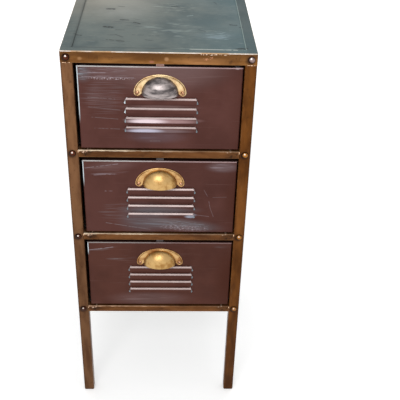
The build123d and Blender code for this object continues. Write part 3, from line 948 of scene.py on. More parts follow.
def make_piece(name: str, shells: list[np.ndarray], rim: np.ndarray | None = None) -> Object:
    """Put closed shells into one mesh object.

    Args:
        name: the object's name.
        shells: for each shell its points, as (rings, sides, 3). The first and last ring are
            closed with a face, unless all their points are one.
        rim: each point's distance from a rim, kept on the mesh for a finish to read.

    Returns:
        The object, with doubles merged, normals outwards and smooth faces.
    """
    points, faces, start = [], [], 0
    for shell in shells:
        rings, sides = shell.shape[:2]
        points.append(shell.reshape(-1, 3))
        faces += (quads_between(rings, sides) + start).tolist()
        for ring in (0, rings - 1):
            if np.ptp(shell[ring], axis=0).max() > 1e-7:
                faces.append((np.arange(sides) + start + ring * sides).tolist())
        start += rings * sides
    mesh = bpy.data.meshes.new(name)
    mesh.from_pydata(np.concatenate(points).tolist(), [], faces)
    if rim is not None:
        mesh.attributes.new("rim", "FLOAT", "POINT").data.foreach_set("value", rim.ravel())
    work = bmesh.new()
    work.from_mesh(mesh)
    bmesh.ops.remove_doubles(work, verts=work.verts, dist=1e-6)
    bmesh.ops.recalc_face_normals(work, faces=work.faces)
    work.to_mesh(mesh)
    work.free()
    mesh.polygons.foreach_set("use_smooth", np.ones(len(mesh.polygons), bool))
    mesh.set_sharp_from_angle(angle=math.radians(40))
    made = bpy.data.objects.new(name, mesh)
    bpy.context.scene.collection.objects.link(made)
    return made


def dress(piece: Object, material: Material) -> None:
    """Give a piece its finish, in place of any that it has."""
    piece.data.materials.clear()
    piece.data.materials.append(material)


# ------------------------------------------------------------------ sub-assemblies


@dataclass
class CupPull:
    """A cup pull: a crescent flange with three rim lines, and a round hood open below."""

    number: int
    hood_finish: Finish
    flange_finish: Finish
    hood_slot: str
    hood_radius: float = 31.0 * MM
    hood_wall: float = 1.5 * MM
    lip_lift: float = 3.5 * MM
    ear_radius: float = 6.2 * MM
    flange_thick: float = 1.2 * MM
    rim_lines: tuple[Pair, ...] = ((1.0 * MM, 0.4 * MM), (2.3 * MM, -0.6 * MM), (3.7 * MM, 0.3 * MM))
    rim_width: float = 0.6 * MM
    turn_steps: int = 72
    wall_steps: int = 28
    ear_steps: int = 20
    section_steps: int = 36

    def __post_init__(self) -> None:
        """Take the pull's place from its CAD node."""
        self.low, self.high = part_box(f"cup_pull_{self.number}")
        self.middle_x = (self.low.x + self.high.x) / 2
        self.lip_z = self.low.z + self.lip_lift
        self.ear_z = self.low.z + self.ear_radius

    def hood(self) -> np.ndarray:
        """Work out the hood: a thin wall on a quarter oval, carried round half a turn.

        The radius is R cos a and the distance from the drawer D sin a, for a from 0 to a quarter
        turn outside and back again inside, where R and D are less by the wall.

        Returns:
            Its points.
        """
        depth = self.high.y - self.low.y
        inner = self.hood_radius - self.hood_wall
        lift = np.linspace(0, np.pi / 2, self.wall_steps)
        radius = np.concatenate([self.hood_radius * np.cos(lift), inner * np.cos(lift[::-1])])
        reach = np.concatenate([depth * np.sin(lift), (depth - self.hood_wall) * np.sin(lift[::-1])])
        turn = np.linspace(0, np.pi, self.turn_steps)[:, None]
        x = self.middle_x + radius * np.cos(turn)
        return np.stack([x, self.high.y - reach + 0 * turn, self.lip_z + radius * np.sin(turn)], -1)

    def flange(self) -> tuple[np.ndarray, np.ndarray]:
        """Work out the flange, on sections from the hood's wall out to the rim.

        The rim runs round the lower half of one ear, over a half ellipse and round the other
        ear. On each section the height is the plate plus a bell-shaped ridge or groove for each
        rim line, at a fixed distance from the rim.

        Returns:
            Its points, and each one's distance from the rim.
        """
        seat = self.hood_radius - self.hood_wall / 2
        start = math.asin((self.ear_z - self.lip_z) / seat)
        ear = np.linspace(np.pi, 2 * np.pi, self.ear_steps)[:-1]
        arc = np.linspace(0, np.pi, self.turn_steps)
        half_width = (self.high.x - self.low.x) / 2
        ellipse_height = self.high.z - self.ear_z
        right_x = half_width - self.ear_radius + self.ear_radius * np.cos(ear)
        ear_rise = self.ear_radius * np.sin(ear)
        rim_x = np.concatenate([right_x, half_width * np.cos(arc), -right_x[::-1]])
        rim_z = self.ear_z + np.concatenate([ear_rise, ellipse_height * np.sin(arc), ear_rise[::-1]])
        angle = start + (np.pi - 2 * start) * arc / np.pi
        angle = np.concatenate([np.full(len(ear), start), angle, np.full(len(ear), np.pi - start)])
        root_x, root_z = seat * np.cos(angle), self.lip_z + seat * np.sin(angle)
        share = np.linspace(0, 1, self.section_steps)[None, :]
        x = root_x[:, None] + (rim_x - root_x)[:, None] * share
        z = root_z[:, None] + (rim_z - root_z)[:, None] * share
        from_rim = np.hypot(rim_x - root_x, rim_z - root_z)[:, None] * (1 - share)
        height = np.full_like(x, self.flange_thick)
        for place, rise in self.rim_lines:
            height += rise * np.exp(-(((from_rim - place) / self.rim_width) ** 2))
        top = np.stack([self.middle_x + x, self.high.y - height, z], -1)
        base = np.stack([self.middle_x + x, np.full_like(x, self.high.y), z], -1)
        points = np.concatenate([top, base[:, ::-1]], axis=1)
        return points, np.concatenate([from_rim, from_rim[:, ::-1]], axis=1)

    def build(self, effects: Effects) -> None:
        """Make the hood and the flange in place of the CAD node.

        Args:
            effects: the shared node groups.
        """
        node = f"cup_pull_{self.number}"
        body = f"drawer_{self.number}"
        flange, rim = self.flange()
        parts = {
            f"pull_hood_{self.number}": (self.hood(), None, self.hood_finish, self.hood_slot),
            f"pull_flange_{self.number}": (flange, rim, self.flange_finish, "pull_brass"),
        }
        for name, (points, distance, finish, slot) in parts.items():
            piece = make_piece(name, [points], distance)
            dress(piece, finish.material(effects, name, (self.low, self.high)))
            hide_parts(node)
            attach(piece, body)
        LOG.info("pull %d: hood and flange in place of %s", self.number, node)


@dataclass
class PullScrews:
    """The two slotted round-head screws of one cup pull."""

    number: int
    finish: Finish
    head_radius: float = 3.2 * MM
    head_height: float = 1.8 * MM
    head_fall: float = 0.75
    head_steps: int = 16
    shank_radius: float = 1.7 * MM
    slot_width: float = 0.9 * MM
    slot_depth: float = 0.9 * MM
    slot_turns: Pair = (0.5, -0.9)
    sides: int = 48

    def build(self, effects: Effects) -> None:
        """Make both screws in place of the CAD node.

        Args:
            effects: the shared node groups.
        """
        node = f"pull_screws_{self.number}"
        low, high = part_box(node)
        seat = Vector((0.0, low.y + self.head_height, (low.z + high.z) / 2))
        columns = (low.x + self.head_radius, high.x - self.head_radius)
        shells = []
        for x, turn in zip(columns, self.slot_turns):
            shells.append(self._screw(high.y - seat.y, turn) + np.array([x, seat.y, seat.z]))
        piece = make_piece(node + "_slotted", shells)
        dress(piece, self.finish.material(effects, node, (low, high)))
        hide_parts(node)
        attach(piece, f"drawer_{self.number}")
        LOG.info("screws %d in place of %s", self.number, node)

    def _screw(self, length: float, turn: float) -> np.ndarray:
        """Work out one screw, with its head's seat at the origin.

        The head is a low dome, its height falling with the square of the radius, less the slot's
        depth where a point lies within half its width of a line through the middle.

        Args:
            length: how long the shank is.
            turn: the angle of the slot.

        Returns:
            Its points.
        """
        radius = np.linspace(0, self.head_radius, self.head_steps)
        rise = self.head_height * (1 - self.head_fall * (radius / self.head_radius) ** 2)
        shank = [[self.head_radius, 0.0], [self.shank_radius, 0.0], [self.shank_radius, length], [0, length]]
        profile = np.concatenate([np.stack([radius, -rise], -1), shank])
        points = turned(profile, Vector((0, 0, 0)), self.sides)
        across = points[..., 0] * math.sin(turn) - points[..., 2] * math.cos(turn)
        in_slot = (np.abs(across) < self.slot_width / 2) & (points[..., 1] < -0.2 * self.head_height)
        points[..., 1] += np.where(in_slot, self.slot_depth, 0.0)
        return points


@dataclass
class DomeBolts:
    """The domed bolts of the front legs, in two columns."""

    finish: Finish
    head_radius: float = 6.0 * MM
    head_height: float = 3.5 * MM
    head_steps: int = 14
    shank_radius: float = 3.0 * MM
    sides: int = 48

    def build(self, effects: Effects, rows: list[float]) -> None:
        """Make all the bolts in place of the CAD node. A dome is a quarter ellipse turned round.

        Args:
            effects: the shared node groups.
            rows: the height of each row of bolts.
        """
        low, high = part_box("front_bolts")
        lift = np.linspace(np.pi / 2, 0, self.head_steps)
        dome = np.stack([self.head_radius * np.cos(lift), -self.head_height * np.sin(lift)], -1)
        end = high.y - low.y - self.head_height
        profile = np.concatenate([dome, [[self.shank_radius, 0.0], [self.shank_radius, end], [0.0, end]]])
        front = low.y + self.head_height
        columns = (low.x + self.head_radius, high.x - self.head_radius)
        shells = [turned(profile, Vector((x, front, row)), self.sides) for x in columns for row in rows]
        piece = make_piece("dome_bolts", shells)
        dress(piece, self.finish.material(effects, "dome_bolts", (low, high)))
        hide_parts("front_bolts")
        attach(piece, "cabinet")
        LOG.info("%d dome bolts", len(shells))


@dataclass
class WeldBeads:
    """Short ground weld beads where rails and floor meet the front legs."""

    finish: Finish
    half_width: float = 1.1 * MM
    proud: float = 0.7 * MM
    ripples: float = 5.0
    ripple_depth: float = 0.22
    steps: int = 40
    sides: int = 16

    def bead(self, start: Vector, run: Vector, phase: float, out: Triple = (0.0, 1.0, 0.0)) -> np.ndarray:
        """Work out one bead: an oval section carried along a line.

        The section swells with the square root of a sine from end to end and ripples on the way. It
        stands proud along one direction, and is wide along the cross product of line and direction.

        Args:
            start: where the line starts.
            run: how it goes on from there.
            phase: where the ripples begin.
            out: the direction in which it stands proud.

        Returns:
            Its points.
        """
        share = np.linspace(0, 1, self.steps)[:, None]
        ripple = 1 + self.ripple_depth * np.sin(2 * np.pi * self.ripples * share + phase)
        swell = np.sqrt(np.clip(np.sin(np.pi * share), 0, 1)) * ripple
        turn = np.linspace(0, 2 * np.pi, self.sides, endpoint=False)[None, :]
        line = np.array(start) + share[..., None] * np.array(run)
        across = np.array(run.normalized().cross(Vector(out)))
        wide = (self.half_width * swell * np.cos(turn))[..., None] * across
        deep = (self.proud * swell * np.sin(turn))[..., None] * np.array(out)
        return line + wide + deep

    def build(self, effects: Effects, rows: list[float]) -> None:
        """Make the beads beside each row of bolts, under the top frame's corners and in the floor's.

        Args:
            effects: the shared node groups.
            rows: the height of each row of bolts, the highest first.
        """
        low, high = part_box("mid_rail_upper")
        leg_low, leg_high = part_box("leg_front_left")
        floor_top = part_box("bottom_panel")[1].z
        leg = leg_high.x - leg_low.x
        rise = Vector((0, 0, 0.9 * (high.z - low.z) / 2))
        shells = []
        for side in Side:
            sign = side.value
            seam = sign * high.x
            for index, row in enumerate(rows[1:]):
                start = Vector((seam, low.y, row)) + 0.2 * rise
                shells.append(self.bead(start, 0.8 * rise, 1.7 * index + sign))
            corner = Vector((seam + sign * 0.15 * leg, low.y, leg_high.z))
            shells.append(self.bead(corner, Vector((sign * 0.7 * leg, 0, 0)), sign))
            notch = Vector((seam - sign * 0.8 * MM, leg_high.y - 0.9 * leg, floor_top - 0.5 * MM))
            shells.append(self.bead(notch, Vector((0, 1.6 * leg, 0)), sign, (0.0, 0.0, sign)))
        piece = make_piece("weld_beads", shells)
        dress(piece, self.finish.material(effects, "weld_beads", (low, high)))
        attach(piece, "cabinet")
        LOG.info("%d weld beads", len(shells))


# ------------------------------------------------------------------ the finishes of this cabinet

BRONZE = FrameLacquer(
    "frame_bronze", base=paint(121, 84, 55), shade=paint(91, 58, 34), worn=paint(169, 133, 96),
    metallic=0.5, roughness=0.4, specular=0.15, mottle=1.0, mottle_stretch=(56.0, 56.0, 15.0),
    stretch=(330.0, 330.0, 30.0), streak_level=0.58, streak_depth=0.14, edge_width=0.8 * MM, edge_depth=0.3,
    line_depth=0.0, fall=(0.62, 0.34), fall_depth=0.24, rim_depth=0.5,
)
DARK_BRONZE = replace(
    BRONZE, label="frame_dark", base=paint(105, 61, 18), shade=paint(76, 40, 4), fall_depth=0.0,
    scuffs_and_light=(
        ScuffAndLight(0, 80, 12, 110, paint(140, 87, 39), 0.45, 30, 14, 0.6),
        ScuffAndLight(0, -330, 20, 160, paint(57, 30, 9), 0.4, 30, 14, 0.7),
    ),
)
RAIL_BRONZE = replace(
    BRONZE, label="rail_bronze", base=paint(114, 72, 36), shade=paint(78, 44, 18),
    mottle_stretch=(16.0, 60.0, 60.0), stretch=(26.0, 330.0, 330.0), edge_depth=0.2, line_width=2.8 * MM,
    line_depth=1.0, fall_depth=0.0, rim_depth=0.0,
    scuffs_and_light=(
        ScuffAndLight(-126, 1, 14, 10, paint(32, 17, 7), 0.9, 190, 150, 0.5),
        ScuffAndLight(128, 0, 18, 12, paint(36, 20, 9), 0.8, 190, 150, 0.45),
        # The next two are painted glints by the weld ends.
        ScuffAndLight(-130, 5, 14, 7, paint(217, 183, 158), 0.9, 300, 240),
        ScuffAndLight(120, 6, 14, 4, paint(178, 151, 130), 0.8, 300, 240),
    ),
)
TOP_RAIL_BRONZE = replace(
    RAIL_BRONZE, label="top_rail_bronze", base=paint(140, 95, 48), shade=paint(105, 66, 28), line_depth=0.0,
    fall=(0.757, 0.773), fall_depth=0.5,
    scuffs_and_light=(
        ScuffAndLight(70, -4, 60, 9, paint(174, 123, 78), 0.6, 24, 90, 0.6),
        ScuffAndLight(86, 8.5, 50, 3, paint(226, 201, 178), 0.95, 260, 420),
        ScuffAndLight(78, 2, 16, 7, paint(190, 133, 99), 0.7, 200, 200),
        ScuffAndLight(-60, 4, 80, 10, paint(85, 52, 25), 0.5, 24, 90, 0.4),
        ScuffAndLight(-128, -2, 5, 4, paint(156, 115, 75), 0.7, 14, 380, 1),
        ScuffAndLight(12, -1, 5, 5, paint(165, 123, 85), 0.75, 14, 380, 1),
        ScuffAndLight(-12, -6, 6, 3, paint(169, 107, 89), 0.6, 14, 380, 0.8),
        ScuffAndLight(118, 0, 22, 12, paint(62, 37, 18), 0.55, 120, 60, 0.1),
        ScuffAndLight(-105, 0, 20, 10, paint(75, 48, 23), 0.5, 300, 20),
    ),
)
BOTTOM_RAIL_BRONZE = replace(
    RAIL_BRONZE, label="bottom_rail_bronze", line=paint(226, 183, 149), line_width=2.0 * MM, line_depth=0.8
)
REAR_RAIL_BRONZE = replace(
    RAIL_BRONZE, label="rear_rail_bronze", shade=paint(92, 57, 27), line_depth=0.0, scuffs_and_light=()
)
SIDE_RAIL_BRONZE = replace(
    REAR_RAIL_BRONZE, label="side_rail_bronze", mottle_stretch=(60.0, 16.0, 60.0),
    stretch=(330.0, 26.0, 330.0),
)
SLATE_TOP = TopLacquer(
    "top_slate", base=paint(90, 100, 96), shade=paint(74, 86, 86), worn=paint(190, 170, 140), roughness=0.4,
    specular=0.12, mottle=16.0, stretch=(30.0, 420.0, 30.0), streak_level=0.58, streak_depth=0.12,
    edge_width=0.8 * MM, edge_depth=0.7, plane=Plane.TOP,
    scuffs_and_light=(
        # A painted bluish highlight patch.
        ScuffAndLight(102, -85, 40, 40, paint(140, 160, 164), 0.6, 40, 200),
        ScuffAndLight(-70, -120, 45, 30, paint(48, 56, 56), 0.6, 34, 260),
        ScuffAndLight(-50, -30, 60, 50, paint(54, 60, 60), 0.6, 34, 200),
        ScuffAndLight(20, 55, 70, 50, paint(150, 158, 150), 0.5, 34, 200),
        ScuffAndLight(135, -147, 14, 8, paint(14, 20, 20), 1.0, 160, 160, 0.8),
        ScuffAndLight(-68, 45, 75, 90, paint(172, 174, 168), 0.26, 9, 9, 0.6),
        # A painted bluish highlight patch.
        ScuffAndLight(96, -88, 50, 24, paint(132, 150, 158), 0.5, 14, 30, 0.3),
        ScuffAndLight(20, -60, 100, 90, paint(128, 140, 136), 0.5, 22, 60),
    ),
    scratches=(
        Scratch(-98, 39, -86, 38, paint(22, 28, 28), 1.0, 4.6),
        Scratch(-70, -18, -58, -19, paint(26, 32, 32), 0.9, 3.6),
        Scratch(-96, -54, -84, -56, paint(18, 24, 24), 1.0, 5.2),
        Scratch(-46, -30, -36, -36, paint(24, 30, 30), 0.95, 3.2),
        Scratch(-143, -94, -133, -97, paint(36, 42, 42), 0.8, 3.8),
        Scratch(21, 58, 33, 57, paint(34, 44, 46), 0.85, 3.6),
        Scratch(48, 8, 58, 12, paint(140, 158, 158), 0.7, 1.6),
        Scratch(-88, -114, -60, -120, paint(26, 34, 34), 0.8, 3.0),
        Scratch(-78, 54, -68, 52, paint(60, 62, 62), 0.6, 2.6),
        Scratch(-76, -68, -62, -68, paint(50, 56, 56), 0.7, 2.4),
        Scratch(-87, -93, -74, -92, paint(50, 56, 56), 0.7, 2.6),
        Scratch(-74, -91, -62, -102, paint(50, 56, 56), 0.7, 2.8),
        Scratch(-46, -90, -28, -90, paint(50, 56, 56), 0.7, 2.0),
        Scratch(-18, -94, -2, -93, paint(50, 56, 56), 0.7, 2.0),
        Scratch(-24, -112, -11, -116, paint(50, 56, 56), 0.7, 2.2),
        Scratch(124, -33, 133, -35, paint(30, 42, 46), 0.9, 4.4),
        Scratch(140, -45, 144, -48, paint(30, 42, 46), 0.8, 3.4),
        Scratch(120, -150, 143, -148, paint(26, 36, 40), 0.9, 3.4),
        Scratch(100, 88, 104, 78, paint(50, 62, 64), 0.7, 2.8),
        Scratch(66, -58, 78, -70, paint(56, 66, 68), 0.7, 2.4),
        # A painted highlight on the front line of the pressed step, on the right.
        Scratch(50, -154, 127, -155, paint(178, 180, 172), 0.9, 1.8),
    ),
)
SLATE_PANEL = WornPaint(
    "panel_slate", base=paint(84, 94, 91), shade=paint(73, 84, 82), worn=paint(140, 142, 132),
    roughness=0.42, mottle=1.0, mottle_stretch=(18.0, 18.0, 5.0), stretch=(260.0, 260.0, 9.0),
    streak_level=0.56, streak_depth=0.16, edge_depth=0.3,
)
LILAC = paint(162, 148, 154)
PALE = paint(216, 202, 208)
STEEL = paint(130, 122, 124)
BLUE = paint(180, 190, 208)
GREY = paint(118, 120, 126)
HAZE = paint(144, 122, 122)
# Painted shade down the right edge of each drawer front.
RIGHT_SHADE = paint(70, 34, 22)
MAROON = DrawerEnamel(
    "drawer_enamel", base=paint(93, 57, 51), shade=paint(79, 46, 40), worn=paint(126, 98, 94),
    roughness=0.34, specular=0.08, mottle=9.0, stretch=(9.0, 1.0, 420.0), streak_level=0.6,
    streak_depth=0.3, edge_depth=0.1, ridge_depth=0.74, top_bend_depth=0.95, side_bend_span=(-0.03, 0.0),
)
MAROONS = {
    1: replace(
        MAROON,
        scuffs_and_light=(
            # Painted sheen over the upper part of the front.
            ScuffAndLight(5, 78, 135, 60, HAZE, 0.47, 8, 260, 0.7),
            ScuffAndLight(150, -20, 45, 120, RIGHT_SHADE, 0.45, 14, 380, 1),
            ScuffAndLight(-90, 66, 60, 22, LILAC, 0.45, 20, 760, 0.15),
            # A painted bluish reflection at the upper left corner.
            ScuffAndLight(-126, 64, 18, 22, paint(170, 190, 202), 0.45, 30, 500, 0.2),
            ScuffAndLight(-85, 55, 70, 4, PALE, 0.5, 420, 420),
            ScuffAndLight(-90, 28, 64, 60, STEEL, 0.34, 8, 820),
            ScuffAndLight(-95, 20, 60, 60, LILAC, 0.22, 10, 950),
            ScuffAndLight(0, 4, 78, 5, paint(176, 150, 146), 0.3, 14, 380, 1),
            # The next five are painted glare and reflections on and under the third and fourth louvres.
            ScuffAndLight(12, -20.5, 70, 6.8, paint(196, 160, 160), 0.6, 30, 160, 1),
            ScuffAndLight(-22, -20.3, 44, 6.6, paint(250, 230, 236), 0.9, 30, 160, 1),
            ScuffAndLight(6, -38.8, 62, 6, LILAC, 0.4, 30, 260, 0.8),
            ScuffAndLight(-26, -38.4, 40, 5.6, paint(208, 206, 226), 0.8, 40, 160, 1),
            ScuffAndLight(-6, -52, 66, 16, paint(120, 112, 124), 0.35, 20, 420, 0.6),
            # A painted glint at the upper right corner.
            ScuffAndLight(127, 76.5, 6, 3, PALE, 0.8, 14, 380, 1),
        ),
        scratches=(
            Scratch(-128, 57.5, -43, 56.5, LILAC, 0.6, 0.9),
            Scratch(-130, 66, -88, 65, LILAC, 0.5, 0.8),
            Scratch(-120, 21, -75, 18, STEEL, 0.5, 0.8),
            Scratch(-120, 3, -67, -2, STEEL, 0.4, 0.8),
            Scratch(-115, -16, -71, -19, STEEL, 0.45, 0.8),
            Scratch(-111, -37, -65, -38, STEEL, 0.45, 0.8),
            Scratch(-17, -60.5, 0, -60.2, STEEL, 0.5, 0.8),
        ),
    ),
    2: replace(
        MAROON, base=paint(89, 54, 48), shade=paint(75, 43, 37), ridge_depth=1.0, top_bend_depth=0.85,
        side_bend_span=(0.02, 0.045),
        scuffs_and_light=(
            ScuffAndLight(20, -58, 115, 18, GREY, 0.75, 12, 560, 0.2, -0.07),
            ScuffAndLight(50, -60, 80, 17, GREY, 0.7, 90, 620, 0.25, -0.12),
            ScuffAndLight(40, -55, 95, 14, STEEL, 0.65, 9, 900, 0.05, -0.1),
            ScuffAndLight(45, -66, 80, 12, LILAC, 0.75, 220, 700, 0.05, -0.06),
            ScuffAndLight(0, -26, 88, 13, GREY, 0.5, 14, 420, 0.8),
            ScuffAndLight(10, -46, 60, 8, STEEL, 0.5, 14, 420, 0.3, -0.03),
            ScuffAndLight(150, -10, 50, 100, RIGHT_SHADE, 0.75, 14, 380, 1),
            ScuffAndLight(-30, -45, 60, 45, paint(108, 104, 110), 0.55, 14, 420, 0.55),
            ScuffAndLight(112, 66, 38, 14, LILAC, 0.6, 20, 700, 0.35),
            ScuffAndLight(-85, 66, 60, 14, HAZE, 0.35, 12, 560, 0.4, 0.1),
            ScuffAndLight(-85, 52, 55, 10, LILAC, 0.45, 12, 560, 0, 0.04),
            ScuffAndLight(-80, -30, 50, 40, STEEL, 0.3, 14, 560),
            ScuffAndLight(56, -37, 14, 5, BLUE, 0.8, 14, 380, 0.6),
        ),
        scratches=(
            Scratch(-132, 61.4, -74, 70.3, LILAC, 0.55, 0.9),
            Scratch(-117, 47.2, -78, 49.7, LILAC, 0.5, 0.9),
            Scratch(79.4, 17.9, 86.5, 4, LILAC, 0.25, 0.8),
            Scratch(89, -6, 92, -22, LILAC, 0.32, 0.8),
            Scratch(92, -22, 98.5, -40, LILAC, 0.25, 0.7),
            Scratch(96, 2, 121, 3, STEEL, 0.3, 0.7),
            Scratch(62, -36, 90, -40, LILAC, 0.3, 0.8),
            Scratch(-98.6, 13.8, -86, 13.9, LILAC, 0.5, 0.9),
            Scratch(-99.4, -55.5, -18.4, -70, STEEL, 0.6, 0.9),
        ),
    ),
    3: replace(
        MAROON, base=paint(87, 51, 42), shade=paint(73, 41, 33), ridge_depth=0.75, top_bend_depth=0.4,
        side_bend_span=(0.045, 0.06),
        scuffs_and_light=(
            ScuffAndLight(-100, 64, 45, 14, STEEL, 0.5, 12, 420, 0, 0.14),
            ScuffAndLight(-70, 40, 50, 14, STEEL, 0.3, 14, 380),
            ScuffAndLight(118, 68, 22, 6, STEEL, 0.25, 20, 560, 0.2),
            ScuffAndLight(150, -10, 60, 110, RIGHT_SHADE, 0.95, 14, 380, 1),
            ScuffAndLight(-20, -60, 100, 22, HAZE, 0.4, 12, 420, 0.5),
        ),
        scratches=(
            Scratch(-135.7, 58.5, -88.4, 66, LILAC, 0.7, 1.0),
            Scratch(-89.3, 37.4, -80, 38, STEEL, 0.4, 0.9),
        ),
    ),
}
TRAY = WornPaint(
    "tray_enamel", base=paint(52, 36, 34), shade=paint(40, 28, 27), worn=paint(96, 86, 84), edge_depth=0.3
)
FOOT = WornPaint(
    "foot_plug", base=paint(70, 44, 28), shade=paint(60, 38, 24), worn=paint(96, 70, 50), edge_depth=0.2
)
# A lighter enamel for the first drawer's tab, as painted light.
TAB_LIT = WornPaint(
    "tab_enamel", base=paint(150, 104, 92), shade=paint(110, 72, 64), worn=paint(190, 160, 150)
)
RUNNER = AgedMetal(
    "runner_steel", base=paint(58, 55, 52), tarnish=paint(34, 32, 30), roughness=0.75, metallic=0.4
)
ZINC = AgedMetal("zinc", base=paint(176, 178, 180), tarnish=paint(130, 132, 134), roughness=0.4)
# rim_shade sets how strong the painted outline shade is.
BRASS = AgedMetal(
    "pull_brass", base=paint(188, 153, 100), tarnish=paint(156, 116, 65), roughness=0.4,
    cloud_span=(0.45, 0.66), rim_shade=0.85,
)
OLD_GOLD = RimmedMetal("pull_gold", base=paint(202, 164, 111), tarnish=paint(159, 112, 67), roughness=0.38)
PALE_GOLD = replace(OLD_GOLD, label="pull_pale_gold", base=paint(215, 190, 147), tarnish=paint(184, 143, 99))
SCREW_GOLD = AgedMetal("screw_gold", base=paint(188, 146, 113), tarnish=paint(124, 75, 50), roughness=0.3)
PEWTER = AgedMetal(
    "pull_pewter", base=paint(163, 153, 151), tarnish=paint(81, 76, 76), roughness=0.46,
    cloud_span=(0.38, 0.66), cloud_stretch=(0.6, 1.0, 2.2), rim_shade=0.75, rim_colour=paint(48, 38, 30),
    outline_from=(0.0, -0.898, 0.44),
)
BOLT = BoltMetal("bolt_bronze", base=paint(86, 42, 23), tarnish=paint(48, 22, 12), roughness=0.34, coat=0.05)
WELD = AgedMetal(
    "weld_bronze", base=paint(199, 166, 136), tarnish=paint(80, 45, 25), roughness=0.28, cloud_scale=260.0,
    cloud_span=(0.45, 0.66),
)
# The first name that a node's own name begins with gives its finish.
CARCASS_FINISHES = {
    "leg_front_left": BRONZE,
    "leg_rear_left": BRONZE,
    "leg_": DARK_BRONZE,
    "top_rail_front": TOP_RAIL_BRONZE,
    "top_rail_rear": REAR_RAIL_BRONZE,
    "top_rail_": SIDE_RAIL_BRONZE,
    "mid_rail_": RAIL_BRONZE,
    "bottom_rail_front": BOTTOM_RAIL_BRONZE,
    "bottom_rail_rear": REAR_RAIL_BRONZE,
    "bottom_rail_": SIDE_RAIL_BRONZE,
    "top_panel": SLATE_TOP,
    "side_panel_": SLATE_PANEL,
    "back_panel": SLATE_PANEL,
    "bottom_panel": SLATE_PANEL,
    "foot_plugs": FOOT,
    "corner_spigots": ZINC,
    "runner_": RUNNER,
    "front_nuts": ZINC,
    "front_bolts": BOLT,
}


@dataclass
class Carcass:
    """The standing part of the cabinet: frame, panels, runners and bolts."""

    effects: Effects
    bolted: tuple[str, ...] = ("leg_front_left", "leg_front_right", "top_rail_front")
    bolt_ring: Colour = paint(40, 20, 8)
    bolt_ring_reach: float = 11.0
    bolt_ring_offset: float = -1.5
    bolt_ring_depth: float = 0.9

    def rows(self) -> list[float]:
        """Measure where the rows of bolts are.

        Returns:
            The height of each row, the highest first.
        """
        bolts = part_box("front_bolts")
        radius = DomeBolts(BOLT).head_radius
        rails = [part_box(name) for name in ("mid_rail_upper", "mid_rail_lower", "bottom_rail_front")]
        return [bolts[1].z - radius] + [(low.z + high.z) / 2 for low, high in rails]

    def ringed(self, finish: WornPaint, box: Box, rows: list[float]) -> WornPaint:
        """Put a dark ring round each bolt that lies on a piece.

        Args:
            finish: the piece's own finish.
            box: the piece's box, lowest corner first.
            rows: the height of each row of bolts, the highest first.

        Returns:
            The finish with the grime.
        """
        leg_low, leg_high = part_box("leg_front_left")
        (low, high), middle = box, (box[0] + box[1]) / 2
        spots = [(side.value * abs(leg_low.x + leg_high.x) / 2, row) for row in rows for side in Side]
        rings = tuple(
            ScuffAndLight(
                (x - middle.x) / MM + self.bolt_ring_offset,
                (row - middle.z) / MM + self.bolt_ring_offset,
                self.bolt_ring_reach,
                self.bolt_ring_reach,
                self.bolt_ring,
                self.bolt_ring_depth,
                solid=1.0,
            )
            for x, row in spots
            if low.x < x < high.x and low.z < row < high.z
        )
        return replace(finish, scuffs_and_light=finish.scuffs_and_light + rings)

    def build(self, nodes: dict[str, Object]) -> None:
        """Dress the carcass nodes and make its bolts and weld beads.

        Args:
            nodes: the CAD nodes by name.
        """
        rows = self.rows()
        for name, node in nodes.items():
            start = next((start for start in CARCASS_FINISHES if name.startswith(start)), None)
            if start:
                finish, box = CARCASS_FINISHES[start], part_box(name)
                if name in self.bolted:
                    finish = self.ringed(finish, box, rows)
                dress(node, finish.material(self.effects, name, box))
                LOG.info("%s in %s", name, finish.label)
        DomeBolts(BOLT).build(self.effects, rows)
        WeldBeads(WELD).build(self.effects, rows)


@dataclass
class Drawer:
    """One drawer: its louvred front, tray, stops and cup pull."""

    number: int
    effects: Effects

    def build(self, nodes: dict[str, Object]) -> None:
        """Dress the drawer's nodes and make its pull and screws.

        Args:
            nodes: the CAD nodes by name.
        """
        first = self.number == DRAWERS[0]
        finishes = {
            "drawer_front": MAROONS[self.number],
            "drawer_tray": TRAY,
            "stop_straps": ZINC,
            # The first tab is lighter as painted light; the others take the dark tray enamel as painted
            # shade.
            "top_tab": TAB_LIT if first else TRAY,
            "cup_pull": BRASS,
            "pull_screws": BRASS,
            "pull_nuts": ZINC,
        }
        for kind, finish in finishes.items():
            name = f"{kind}_{self.number}"
            dress(nodes[name], finish.material(self.effects, name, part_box(name)))
            LOG.info("%s in %s", name, finish.label)
        hood, slot = (PEWTER, "pull_pewter") if first else (BRASS, "pull_brass")
        CupPull(self.number, hood, PALE_GOLD if first else OLD_GOLD, slot).build(self.effects)
        PullScrews(self.number, SCREW_GOLD).build(self.effects)


